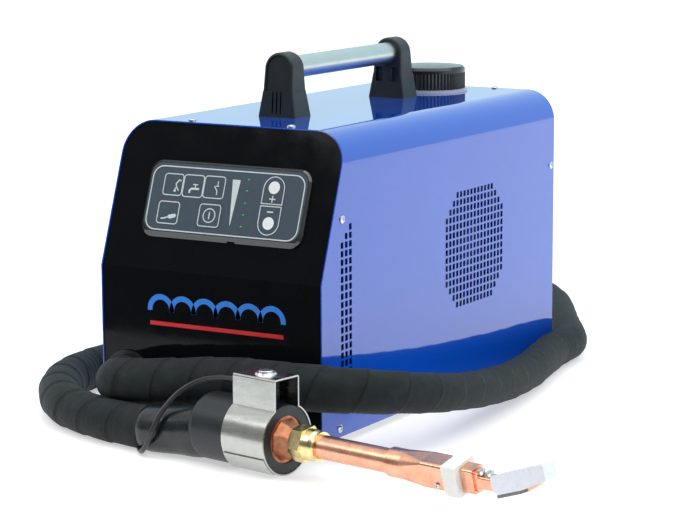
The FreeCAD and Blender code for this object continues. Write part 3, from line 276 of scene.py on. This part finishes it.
def tape_wrap(name, pitch):
    """Woven tape wound round a hose: UV is metres along it and turns round it."""
    material, nodes, links = node_material(name)
    shader = nodes["Principled BSDF"]
    coords = nodes.new("ShaderNodeTexCoord")
    split = nodes.new("ShaderNodeSeparateXYZ")
    links.new(coords.outputs["UV"], split.inputs["Vector"])

    def maths(operation, a, b=None):
        node = nodes.new("ShaderNodeMath")
        node.operation = operation
        for socket, value in zip(node.inputs, (a, b)):
            if value is None:
                continue
            if isinstance(value, (int, float)):
                socket.default_value = value
            else:
                links.new(value, socket)
        return node.outputs[0]

    laps = maths("DIVIDE", split.outputs["X"], pitch)
    wobble = noise_node(nodes, links, coords.outputs["Object"], 18.0)
    turned = maths("ADD", laps, split.outputs["Y"])
    phase = maths("FRACT", maths("ADD", turned, maths("MULTIPLY", wobble, LAP_WOBBLE)))
    edge = range_node(nodes, links, phase, 1.0, 0.0, *LAP_EDGE)
    # threads across and along the tape
    across = maths("SINE", maths("MULTIPLY", split.outputs["X"], 2 * math.pi / THREAD_PITCH))
    along = maths("SINE", maths("MULTIPLY", split.outputs["Y"], 2 * math.pi * THREADS_ROUND))
    weave = maths("MULTIPLY", across, along)
    crumple = noise_node(nodes, links, coords.outputs["Object"], 70.0, detail=5.0)
    lint = noise_node(nodes, links, coords.outputs["Object"], 900.0, detail=2.0)
    cloth = ramp_node(nodes, links, crumple, CLOTH_SHADES)
    mix = nodes.new("ShaderNodeMix")
    mix.data_type = "RGBA"
    links.new(edge, mix.inputs["Factor"])
    links.new(cloth, mix.inputs["A"])
    mix.inputs["B"].default_value = LAP_SHADOW
    links.new(mix.outputs["Result"], shader.inputs["Base Color"])
    links.new(range_node(nodes, links, lint, 0.62, 0.86), shader.inputs["Roughness"])
    step = bump_node(nodes, links, maths("MULTIPLY", phase, -1.0), 0.7 * MM)
    folds = bump_node(nodes, links, crumple, 0.9 * MM, below=step)
    threads = bump_node(nodes, links, weave, 0.05 * MM, strength=0.6, below=folds)
    links.new(bump_node(nodes, links, lint, 0.10 * MM, below=threads), shader.inputs["Normal"])
    shader.inputs["Specular IOR Level"].default_value = 0.18
    shader.inputs["Sheen Weight"].default_value = 0.06
    shader.inputs["Sheen Roughness"].default_value = 0.5
    return material


hose_wrap = tape_wrap("hose_wrap_tape", TAPE_PITCH)
shrink_black = surface("shrink_gloss", (0.006, 0.010, 0.011), 0.24, mottle=0.2, mottle_scale=80,
                       rough_spread=0.10, grain_scale=420, grain=0.09, specular=0.55)
lead_rubber = surface("lead_rubber", (0.022, 0.024, 0.026), 0.34, mottle=0.12, mottle_scale=150,
                      grain_scale=2000, grain=0.03)


# ---------------------------------------------------------------- mesh helpers
def mesh_object(name, points, faces, material, body, smooth=True):
    data = bpy.data.meshes.new(name)
    data.from_pydata([tuple(p) for p in points], [], faces)
    data.materials.append(material)
    data.polygons.foreach_set("use_smooth", [smooth] * len(data.polygons))
    data.update()
    piece = bpy.data.objects.new(name, data)
    bpy.context.scene.collection.objects.link(piece)
    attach(piece, body)
    return piece


def route_line(name, points):
    """The NURBS route through a cord's control points, as close points along it."""
    curve = bpy.data.curves.new(name, "CURVE")
    curve.dimensions = "3D"
    spline = curve.splines.new("NURBS")
    spline.points.add(len(points) - 1)
    for target, point in zip(spline.points, points):
        target.co = (*point, 1)
    spline.order_u = 3
    spline.use_endpoint_u = True
    curve.resolution_u = 24
    holder = bpy.data.objects.new(name, curve)
    bpy.context.scene.collection.objects.link(holder)
    bpy.context.view_layer.update()
    data = bpy.data.meshes.new_from_object(holder)
    line = [v.co.copy() for v in data.vertices]
    bpy.data.objects.remove(holder)
    bpy.data.meshes.remove(data)
    return line


def arc_lengths(line):
    total = [0.0]
    for a, b in zip(line, line[1:]):
        total.append(total[-1] + (b - a).length)
    return np.array(total)


def resampled(line, spacing):
    """Evenly spaced points along a line, with the distance of each from its start."""
    total = arc_lengths(line)
    count = int(round(total[-1] / spacing)) + 1
    at = np.linspace(0, total[-1], count)
    coords = np.array(line)
    even = np.stack([np.interp(at, total, coords[:, k]) for k in range(3)], axis=1)
    return [Vector(p) for p in even], at


def frames_along(line):
    """Tangent, side and up for each point, turned as little as possible from one to the next."""
    tangents = []
    for k in range(len(line)):
        ahead = line[min(k + 1, len(line) - 1)]
        behind = line[max(k - 1, 0)]
        tangents.append((ahead - behind).normalized())
    up = Vector((0, 0, 1))
    frames = []
    for tangent in tangents:
        up = (up - tangent * up.dot(tangent)).normalized()
        frames.append((tangent, up.cross(tangent).normalized(), up))
    return frames


def nearest_distance(line, at, point):
    """How far along the line its nearest place to a point is."""
    gaps = [(p - Vector(point)).length for p in line]
    return float(at[int(np.argmin(gaps))])


BEND_REACH = 6                     # points on each side over which a bend is measured


def bend_inwards(line, k, reach):
    """Direction to the inside of the bend at a point; its length grows with the bend, in 1/m."""
    a = line[max(k - reach, 0)]
    b = line[min(k + reach, len(line) - 1)]
    middle = (a + b) / 2 - line[k]
    half = (b - a).length / 2
    return middle * (2 / max(half * half, 1e-9))


# ---------------------------------------------------------------- hose, sleeve and trigger lead
HOSE_EXIT_X = -0.095
HOSE_EXIT_Z = Z0 + 0.041
hose_points = [
    (HOSE_EXIT_X, YF + 0.008, HOSE_EXIT_Z),       # seat in the front gland
    (HOSE_EXIT_X, YF - 0.0155, HOSE_EXIT_Z + 0.0008),
    (HOSE_EXIT_X + 0.0075, YF - 0.0285, HOSE_EXIT_Z + 0.0028),
    (HOSE_EXIT_X + 0.021, YF - 0.036, HOSE_EXIT_Z + 0.005),  # leans across the front of the case
    (-0.033, YF - 0.036, 0.0575),
    (0.015, YF - 0.031, 0.0625),
    (0.062, YF - 0.029, 0.066),
    (0.106, YF - 0.029, 0.067),
    (0.1445, YF - 0.017, 0.066),
    (0.174, YF + 0.010, 0.062),
    (0.192, YF + 0.046, 0.056),
    (0.200, YF + 0.090, 0.048),
    (0.200, YF + 0.145, 0.039),                   # down to the floor beside the case
    (0.193, YF + 0.225, 0.028),
    (0.178, YF + 0.320, HOSE_R + 0.0006),
    (0.160, YF + 0.400, HOSE_R + 0.0001),
    (0.151, YF + 0.440, HOSE_R + 0.0003),
    (0.149, YF + 0.470, HOSE_R + 0.0002),
    (0.1445, YF + 0.502, HOSE_R + 0.0001),        # round the rear right corner
    (0.121, YF + 0.540, HOSE_R + 0.0002),
    (0.093, YF + 0.586, HOSE_R + 0.0001),
    (0.068, YF + 0.632, HOSE_R + 0.0003),
    (0.038, YF + 0.684, HOSE_R + 0.0001),         # wide loop behind the case
    (-0.002, YF + 0.730, HOSE_R + 0.0002),
    (-0.056, YF + 0.762, HOSE_R + 0.0001),
    (-0.118, YF + 0.768, HOSE_R + 0.0003),
    (-0.174, YF + 0.746, HOSE_R + 0.0001),
    (-0.213, YF + 0.697, HOSE_R + 0.0003),
    (-0.230, YF + 0.620, HOSE_R + 0.0001),        # forward along the left side
    (-0.229, YF + 0.510, HOSE_R + 0.0003),
    (-0.226, YF + 0.400, HOSE_R + 0.0001),
    (-0.231, YF + 0.280, HOSE_R + 0.0003),
    (-0.229, YF + 0.180, HOSE_R + 0.0003),
    (-0.2305, YF + 0.112, HOSE_R + 0.0001),
    (-0.220, YF + 0.067, HOSE_R + 0.0003),        # tight fold at the front left corner
    (-0.205, YF + 0.038, HOSE_R + 0.0006),
    (-0.190, YF + 0.014, HOSE_R + 0.0008),
    (-0.166, YF - 0.014, HOSE_R + 0.0006),
    (-0.141, YF - 0.034, HOSE_R + 0.0003),
    (-0.095, YF - 0.0545, HOSE_R + 0.0001),
    (-0.055, YF - 0.063, HOSE_R + 0.0003),
    (-0.016, YF - 0.070, HOSE_R + 0.0015),
    torch_point(-118, -5, -8),
    torch_point(-78, 0, -2),                      # inside the grip
]


def smooth_tube(name, line, at, radius, material, body, around=56):
    """Closed tube with a radius(distance, angle, bend, centre); UV is metres along it and turns round."""
    frames = frames_along(line)
    points = []
    faces = []
    for k, (centre, (_, side, up)) in enumerate(zip(line, frames)):
        inwards = bend_inwards(line, k, BEND_REACH)
        for j in range(around):
            angle = 2 * math.pi * j / around
            out = side * math.cos(angle) + up * math.sin(angle)
            points.append(centre + out * radius(at[k], angle, inwards.dot(out), centre))
    for k in range(len(line) - 1):
        for j in range(around):
            a = k * around + j
            b = k * around + (j + 1) % around
            faces.append((a, b, b + around, a + around))
    faces.append(tuple(reversed(range(around))))
    faces.append(tuple(len(points) - around + j for j in range(around)))
    piece = mesh_object(name, points, faces, material, body)
    uv = piece.data.uv_layers.new(name="UVMap")
    for index, face in enumerate(piece.data.polygons):
        k = index // around
        j = index % around
        if k >= len(line) - 1:
            continue
        corners = ((k, j), (k, j + 1), (k + 1, j + 1), (k + 1, j))
        for loop, (row, column) in zip(face.loop_indices, corners):
            uv.data[loop].uv = (at[row], column / around)
    return piece


HOSE_SPACING = 2.2 * MM            # between the rings of each tube
LEAD_SPACING = 1.2 * MM
hose_line, hose_at = resampled(route_line("hose_route", hose_points), HOSE_SPACING)
# places along the hose, and the radius of its loose sleeve there in mm
RADIUS_AT = [
    ((HOSE_EXIT_X, YF + 0.008, 0.049), 20.6),
    ((HOSE_EXIT_X, YF - 0.015, 0.050), 21.6),
    ((-0.080, YF - 0.032, 0.053), 22.2),
    ((-0.030, YF - 0.036, 0.0575), 22.4),
    ((0.040, YF - 0.030, 0.065), 23.2),
    ((0.106, YF - 0.029, 0.067), 22.2),
    ((0.174, YF + 0.010, 0.062), 20.8),
    ((0.192, YF + 0.046, 0.056), 19.4),
    ((0.200, YF + 0.120, 0.043), 18.0),
    ((0.178, YF + 0.320, 0.021), 18.6),
    ((0.149, YF + 0.470, 0.020), 18.8),
    ((0.068, YF + 0.632, 0.020), 19.6),
    ((-0.213, YF + 0.697, 0.020), 20.6),
    ((-0.229, YF + 0.180, 0.020), 20.8),
    ((-0.205, YF + 0.038, 0.021), 21.2),
    ((-0.141, YF - 0.033, 0.021), 21.0),
    ((-0.095, YF - 0.0535, 0.021), 20.4),
    ((-0.016, YF - 0.073, 0.022), 20.4),
    (torch_point(-78, 0, -2), 20.4),
]
radius_where = [nearest_distance(hose_line, hose_at, place) for place, _ in RADIUS_AT]
radius_there = [r * MM for _, r in RADIUS_AT]


LAP_STEP = 0.95                    # mm, height of one tape edge over the lap below
LAP_DROP = 0.45
LUMP_HEIGHT = 0.55                 # mm, soft lumps of the loose wrap
LUMPS = 22                         # per metre
CREASE_BEND = 18                   # 1/m, bend at which its inside is fully creased
CREASE_PITCH = 8.5 * MM
FLARE_PITCH = 6.2 * MM             # fine ribs of the tube under the tape
FLARE_HEIGHT = 0.10
FLOOR_GAP = 0.2 * MM


def hose_radius(distance, angle, inside, centre):
    """Sleeve radius: its slack, tape laps, soft lumps, and creases on the inside of bends."""
    base = float(np.interp(distance, radius_where, radius_there))
    lap = (distance / TAPE_PITCH + angle / (2 * math.pi)) % 1.0
    lap_swell = (LAP_STEP * lap - LAP_DROP) * MM
    around = (math.cos(angle) * 0.9, math.sin(angle) * 0.9)
    lump = noise.noise(Vector((distance * LUMPS, *around))) * LUMP_HEIGHT * MM
    crease_side = max(0.0, min(1.0, inside / CREASE_BEND))
    unevenness = 1.3 * noise.noise(Vector((distance * 60, 3, 1)))
    ripple = math.sin(2 * math.pi * distance / CREASE_PITCH + unevenness)
    crease = crease_side * (0.9 * ripple - 0.5) * MM
    straightness = max(0.0, 1 - abs(inside) / 30)
    flare = FLARE_HEIGHT * MM * math.sin(2 * math.pi * distance / FLARE_PITCH) * straightness
    radius = base + lap_swell + lump + crease + flare
    # the floor flattens it a little
    down = max(0.0, -math.sin(angle)) if centre.z < HOSE_R + 2.5 * MM else 0.0
    if down == 0:
        return radius
    return min(radius, (centre.z - FLOOR_GAP) / max(down, 0.05))


hose = smooth_tube("hose_sleeve", hose_line, hose_at, hose_radius, hose_wrap, "case")
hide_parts("power_hose")

# heat-shrink over the last of the hose, fatter towards the grip and sagging under it
sleeve_from = nearest_distance(hose_line, hose_at, (-0.022, YF - 0.0710, 0.0218))
sleeve_to = nearest_distance(hose_line, hose_at, torch_point(-93, 0, -4.5))
sleeve_line = [p for p, d in zip(hose_line, hose_at) if sleeve_from <= d <= sleeve_to]
sleeve_at = np.array([d for d in hose_at if sleeve_from <= d <= sleeve_to])


SLEEVE_START_R = 21.3 * MM
SLEEVE_RIM = 0.9 * MM              # step at its ragged rear edge
SLEEVE_GROWTH = 2.4 * MM           # how much fatter it is at the grip
SLEEVE_SAG = 2.2 * MM


def sleeve_radius(distance, angle, inside, centre):
    share = (distance - sleeve_from) / (sleeve_to - sleeve_from)
    ragged = 0.5 + 0.5 * noise.noise(Vector((math.cos(angle) * 2, math.sin(angle) * 2, 0.3)))
    rim = min(1.0, max(0.0, (share - 0.03 * ragged) / 0.05))
    radius = SLEEVE_START_R + SLEEVE_RIM * rim + SLEEVE_GROWTH * share
    sag = max(0.0, -math.sin(angle)) * SLEEVE_SAG * math.exp(-((share - 0.82) / 0.22) ** 2)
    fold = 0.35 * MM * noise.noise(Vector((distance * 70, math.cos(angle), math.sin(angle))))
    if angle <= math.pi:
        return radius + sag + fold
    return min(radius + sag + fold, (centre.z - 0.3 * MM) / max(-math.sin(angle), 0.05))


sleeve = smooth_tube("heat_shrink_sleeve", sleeve_line, sleeve_at, sleeve_radius, shrink_black, "case")
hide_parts("heat_shrink")

lead_points = [
    torch_point(-41.0, 0, 43.5),                  # back of the trigger switch
    torch_point(-57, 1, 46),
    torch_point(-76, 2, 46),
    torch_point(-96, 1, 43),
    torch_point(-110, -2, 38),
    torch_point(-119, -8, 32),
    torch_point(-124, -15, 26),
    torch_point(-128, -22, 18),
    torch_point(-131, -29, 10),
    torch_point(-132, -34, 2),
    torch_point(-134, -37.5, -7),
    torch_point(-138, -38.5, -16),
    torch_point(-144, -37.5, -24),
    torch_point(-153, -33, -29.5),
    torch_point(-163, -25, -30.6),
    torch_point(-175, -15, -30.5),                # into the underside of the sleeve
]
lead_line, lead_at = resampled(route_line("lead_route", lead_points), LEAD_SPACING)


GROOVE_WIDTH = 0.25                # as a share of the radius
GROOVE_DEPTH = 0.30 * MM


def lead_radius(distance, angle, inside, centre):
    """Two cores side by side under one jacket leave a shallow groove along it."""
    groove = math.exp(-(math.sin(angle) / GROOVE_WIDTH) ** 2) if math.cos(angle) > 0 else 0.0
    return LEAD_D / 2 - GROOVE_DEPTH * groove


lead = smooth_tube("trigger_lead_jacket", lead_line, lead_at, lead_radius, lead_rubber, "case",
                   around=24)
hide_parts("trigger_lead")


# ---------------------------------------------------------------- finishes of the CAD pieces
FINISHES = {
    "cover_shell": enamel_blue, "front_panel": panel_gloss, "rear_panel": rear_satin,
    "chassis_tray": zinc_plate,
    "foot_front_left": foot_rubber, "foot_front_right": foot_rubber,
    "foot_rear_left": foot_rubber, "foot_rear_right": foot_rubber,
    "cover_screws_right": screw_zinc, "cover_screws_left": screw_zinc, "cover_screws_top": screw_zinc,
    "handle_bolts": screw_zinc, "socket_screw": screw_zinc, "clamp_screws": screw_zinc,
    "handle_shank_front": shank_plastic, "handle_shank_rear": shank_plastic, "handle_tube": tube_anodised,
    "control_bezel": bezel_gloss, "membrane_overlay": overlay_film,
    "key_plus": overlay_film, "key_minus": overlay_film, "key_power": overlay_film,
    "control_board": board_green, "inverter_board": board_green, "level_leds": led_green,
    "coolant_tank": tank_white, "filler_neck": neck_grey, "filler_cap": cap_black, "cap_seal": seal_rubber,
    "fan_frame": fan_black, "fan_rotor": fan_black, "radiator_core": radiator_fins,
    "pump_body": pump_black, "pump_impeller": pump_black, "pump_motor": motor_grey,
    "heat_sink": sink_aluminium,
    "capacitor_bank": can_sleeve, "transformer_core": ferrite_core, "transformer_winding": winding_copper,
    "mains_gland": gland_black, "hose_gland": gland_black, "main_switch_body": switch_black,
    "main_switch_rocker": switch_black, "trigger_switch": switch_black, "torch_grip": grip_rubber,
    "torch_adapter": copper_dull, "lance_pipe": copper, "lance_socket": copper, "inductor_lead": copper,
    "union_nut": brass, "thrust_ring": brass, "insulator_block": insulator_white, "inductor_core": coil_white,
    "ferrite_strip": ferrite_grey, "switch_clip": clip_steel, "button_ring": button_chrome,
    "push_button": button_chrome,
}
for node, finish in FINISHES.items():
    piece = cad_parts[node]
    for index in range(len(piece.data.materials)):
        piece.data.materials[index] = finish


# ---------------------------------------------------------------- printed graphics
class Print:
    """Flat ink shapes on a face, in its own millimetres, gathered into one mesh."""

    def __init__(self, place, lift):
        self.place = place
        self.lift = lift
        self.points = []
        self.faces = []

    def add(self, outline, faces):
        start = len(self.points)
        for x, y in outline:
            self.points.append(self.place @ Vector((x * MM, y * MM, self.lift)))
        for face in faces:
            self.faces.append(tuple(start + k for k in face))

    def polygon(self, outline):
        self.add(outline, [tuple(range(len(outline)))])

    def disc(self, x, y, radius):
        self.polygon([(x + radius * math.cos(a), y + radius * math.sin(a)) for a in steps(40)])

    def stroke(self, path, width, closed=False):
        """A ribbon of even width along a path, mitred at its corners."""
        count = len(path)
        left = []
        right = []
        for k, here in enumerate(path):
            before = path[(k - 1) % count] if closed or k > 0 else None
            after = path[(k + 1) % count] if closed or k < count - 1 else None
            directions = []
            if before is not None:
                directions.append(Vector(here) - Vector(before))
            if after is not None:
                directions.append(Vector(after) - Vector(here))
            normals = [Vector((-d.y, d.x)).normalized() for d in directions]
            normal = sum(normals, Vector((0, 0))).normalized()
            reach = width / 2 / max(normal.dot(normals[0]), 0.4)
            left.append((here[0] + normal.x * reach, here[1] + normal.y * reach))
            right.append((here[0] - normal.x * reach, here[1] - normal.y * reach))
        last = count if closed else count - 1
        faces = []
        for k in range(last):
            n = (k + 1) % count
            faces.append((k, count + k, count + n, n))
        self.add(left + right, faces)

    def make(self, name, material, body):
        return mesh_object(name, self.points, self.faces, material, body, smooth=False)


def steps(count, start=0.0, end=2 * math.pi):
    """Evenly spaced angles; a full turn leaves out its repeated end."""
    full = abs(end - start - 2 * math.pi) < 1e-9
    parts = count if full else count - 1
    return [start + (end - start) * k / parts for k in range(count)]


def arc(x, y, radius, start, end, count):
    return [(x + radius * math.cos(a), y + radius * math.sin(a))
            for a in steps(count, math.radians(start), math.radians(end))]


def round_box(x0, x1, y0, y1, radius):
    """Outline of a rectangle with round corners, anticlockwise from its right side."""
    left = x0 + radius
    right = x1 - radius
    bottom = y0 + radius
    top = y1 - radius
    outline = []
    for x, y, start in ((right, top, 0), (left, top, 90), (left, bottom, 180), (right, bottom, 270)):
        outline += arc(x, y, radius, start, start + 90, 8)
    return outline


INK = 0.05 * MM                    # how far the ink of the control panel stands off
LINE = 0.95                        # width of the thin lines round the keys, in mm
THIN = 1.1
white = Print(SLOPE_PLACE, BEZEL_T + INK)
white.stroke(round_box(-80.3, 90.9, 38.7, 101.2, 11.0), 1.15, closed=True)
# key fields: centre and half sizes
PROBE = (-55.7, 83.6, 10.7, 10.4)
TAP = (-32.6, 83.5, 11.3, 10.7)
CONTACT = (-8.8, 83.9, 11.5, 10.6)
TORCH = (-56.1, 55.9, 11.8, 10.7)
for cx, cy, half_x, half_y in (PROBE, TAP, CONTACT, TORCH):
    white.stroke(round_box(cx - half_x, cx + half_x, cy - half_y, cy + half_y, 3.0), LINE, closed=True)


def shifted(centre, path):
    return [(centre[0] + x, centre[1] + y) for x, y in path]


# hand probe on a surface
white.stroke(shifted(PROBE, [(1.6, -6.0), (4.1, -2.2), (3.1, 1.0), (6.2, 4.6), (8.6, 4.0)]), 1.3)
white.stroke(shifted(PROBE, [(4.1, -2.2), (7.0, -5.6)]), THIN)
white.disc(PROBE[0] + 2.6, PROBE[1] - 5.8, 1.5)
# water tap
white.stroke(shifted(TAP, [(-3.4, -7.0), (-3.4, -4.2), (-1.4, -2.6), (7.0, -2.6)]), 2.0)
white.stroke(shifted(TAP, [(2.4, -2.6), (2.4, 1.2)]), THIN)
white.stroke(shifted(TAP, [(-0.4, 1.5), (5.2, 1.5)]), THIN)
# switch contact
white.stroke(shifted(CONTACT, [(3.8, -7.4), (3.8, -3.4), (0.2, 0.9)]), 1.0)
white.stroke(shifted(CONTACT, [(3.8, 1.3), (3.8, 6.2)]), 1.0)
white.stroke(shifted(CONTACT, [(1.3, 1.3), (5.3, 1.3)]), 0.9)
# torch
TORCH_BODY = [(-1.2, -4.6), (1.6, -1.9), (8.2, -0.6), (9.7, -2.1), (8.8, -4.2), (3.0, -6.0)]
white.polygon(shifted(TORCH, TORCH_BODY))
white.stroke(shifted(TORCH, [(-7.4, -6.2), (-4.2, -5.8), (1.0, -4.2)]), 1.4)
# rising level wedge
white.polygon([(10.7, 92.8), (19.5, 92.8), (16.1, 48.7), (15.5, 48.7)])
white.make("panel_print_white", print_white, "case")

icon_led = Print(SLOPE_PLACE, BEZEL_T + INK)
icon_led.disc(TORCH[0] - 5.0, TORCH[1] + 4.6, 1.3)
icon_led.make("panel_print_led", led_green, "case")

PILL_X = 58.1                      # the plus and minus keys are the halves of one upright pill
PILL_R = 11.4
PILL_TOP = 87.0
PILL_BOTTOM = 53.9
DIVIDER = 71.0
DIVIDER_GAP = 1.1
DISC_R = 6.1
SIGN_HALF = 3.4
PLUS_V = 76.9
MINUS_V = 64.5


def key_disc(name, height, body):
    """White round on a key."""
    disc = Print(SLOPE_PLACE, KEY_TOP + INK)
    disc.disc(PILL_X, height, DISC_R)
    disc.make(name, disc_white, body)


upper = Print(SLOPE_PLACE, KEY_TOP + INK)
upper.stroke([(PILL_X + PILL_R, DIVIDER + DIVIDER_GAP)] + arc(PILL_X, PILL_TOP, PILL_R, 0, 180, 24)
             + [(PILL_X - PILL_R, DIVIDER + DIVIDER_GAP)], LINE, True)
upper.stroke([(PILL_X - SIGN_HALF, PLUS_V), (PILL_X + SIGN_HALF, PLUS_V)], 1.2)
# the upright of the plus sign, in two parts that stop at its bar
upper.stroke([(PILL_X, 73.7), (PILL_X, 76.3)], 1.2)
upper.stroke([(PILL_X, 77.5), (PILL_X, 80.1)], 1.2)
upper.make("key_plus_print", print_white, "plus")
key_disc("key_plus_disc", 88.0, "plus")
lower = Print(SLOPE_PLACE, KEY_TOP + INK)
lower.stroke([(PILL_X - PILL_R, DIVIDER - DIVIDER_GAP)] + arc(PILL_X, PILL_BOTTOM, PILL_R, 180, 360, 24)
             + [(PILL_X + PILL_R, DIVIDER - DIVIDER_GAP)], LINE, True)
lower.stroke([(PILL_X - SIGN_HALF, MINUS_V), (PILL_X + SIGN_HALF, MINUS_V)], 1.3)
lower.make("key_minus_print", print_white, "minus")
key_disc("key_minus_disc", 53.6, "minus")

POWER_AT = (-8.8, 56.2)            # middle of the power sign, in a key with a square outline
POWER_R = 6.6
power = Print(SLOPE_PLACE, KEY_TOP + INK)
power.stroke(round_box(-20.6, 3.1, 45.5, 67.0, 3.0), LINE, closed=True)
power.stroke(arc(*POWER_AT, POWER_R, 0, 360, 40)[:-1], 1.05, closed=True)
power.stroke(shifted(POWER_AT, [(0, -3.6), (0, 3.6)]), 1.2)
power.make("key_power_print", print_white, "power")

# generic coil symbol on the lower front face: a winding over a core bar
FRONT_INK = 0.06 * MM
LOOP_R = 12.6
LOOPS = 6
LOOP_Z = 111.0
LOOP_LINE = 5.4
FIRST_LOOP = -56.0
BAR_Z = 97.5
BAR_LINE = 4.0
coil = Print(FRONT_PLACE, FRONT_INK)
for k in range(LOOPS):
    coil.stroke(arc(FIRST_LOOP + 2 * LOOP_R * k, LOOP_Z, LOOP_R, 186, -6, 22), LOOP_LINE)
coil.make("front_print_coil", print_blue, "case")
core_bar = Print(FRONT_PLACE, FRONT_INK)
core_bar.stroke([(FIRST_LOOP - LOOP_R, BAR_Z), (FIRST_LOOP + LOOP_R * (2 * LOOPS - 1), BAR_Z)], BAR_LINE)
core_bar.make("front_print_bar", print_red, "case")


# ---------------------------------------------------------------- floor and light
TABLE_EDGE = -0.62                 # the pale table ends in front of the case, where the room is dark
TABLE_REACH = 12


def make_floor():
    data = bpy.data.meshes.new("floor")
    corners = [(-TABLE_REACH, TABLE_EDGE, 0), (TABLE_REACH, TABLE_EDGE, 0), (TABLE_REACH, TABLE_REACH, 0),
               (-TABLE_REACH, TABLE_REACH, 0)]
    data.from_pydata(corners, [], [(0, 1, 2, 3)])
    data.materials.append(floor_paper)
    floor = bpy.data.objects.new("floor", data)
    bpy.context.scene.collection.objects.link(floor)


def area_light(name, place, target, size, watts):
    data = bpy.data.lights.new(name, "AREA")
    data.shape = "RECTANGLE"
    data.size = size[0]
    data.size_y = size[1]
    data.energy = watts
    light = bpy.data.objects.new(name, data)
    bpy.context.scene.collection.objects.link(light)
    light.location = place
    light.rotation_euler = (Vector(target) - Vector(place)).to_track_quat("-Z", "Y").to_euler()


def sun_light(name, towards, strength, spread):
    """Sun from a direction; a wide spread, in degrees, makes its shadows soft."""
    data = bpy.data.lights.new(name, "SUN")
    data.energy = strength
    data.angle = math.radians(spread)
    light = bpy.data.objects.new(name, data)
    bpy.context.scene.collection.objects.link(light)
    light.rotation_euler = Vector(towards).to_track_quat("Z", "Y").to_euler()


# brightness of the room from the side that the front panel faces (0) to the far side (1)
ROOM_SHADES = [(0.0, (0.10, 0.10, 0.11)), (0.35, (0.60, 0.61, 0.62)), (0.6, (0.98, 0.99, 1.0)),
               (1.0, (0.66, 0.88, 0.98))]


def make_sky():
    """White room, darker on the side that the front panel faces."""
    world = bpy.data.worlds.new("studio")
    bpy.context.scene.world = world
    world.use_nodes = True
    nodes = world.node_tree.nodes
    links = world.node_tree.links
    background = nodes["Background"]
    coords = nodes.new("ShaderNodeTexCoord")
    split = nodes.new("ShaderNodeSeparateXYZ")
    links.new(coords.outputs["Generated"], split.inputs["Vector"])
    depth = range_node(nodes, links, split.outputs["Y"], 0.0, 1.0, -0.80, 0.60)
    shade = ramp_node(nodes, links, depth, ROOM_SHADES)
    path = nodes.new("ShaderNodeLightPath")
    mix = nodes.new("ShaderNodeMix")
    mix.data_type = "RGBA"
    links.new(path.outputs["Is Camera Ray"], mix.inputs["Factor"])
    links.new(shade, mix.inputs["A"])
    mix.inputs["B"].default_value = (1, 1, 1, 1)
    links.new(mix.outputs["Result"], background.inputs["Color"])
    background.inputs["Strength"].default_value = 1.0


make_floor()
make_sky()
sun_light("overhead", towards=(0.25, -0.10, 1.0), strength=1.9, spread=80)
area_light("key", place=(-1.2, -1.6, 1.9), target=(0, 0, 0.1), size=(1.2, 1.2), watts=16)
bpy.context.scene.view_settings.view_transform = "Standard"
bpy.context.scene.view_settings.look = "None"
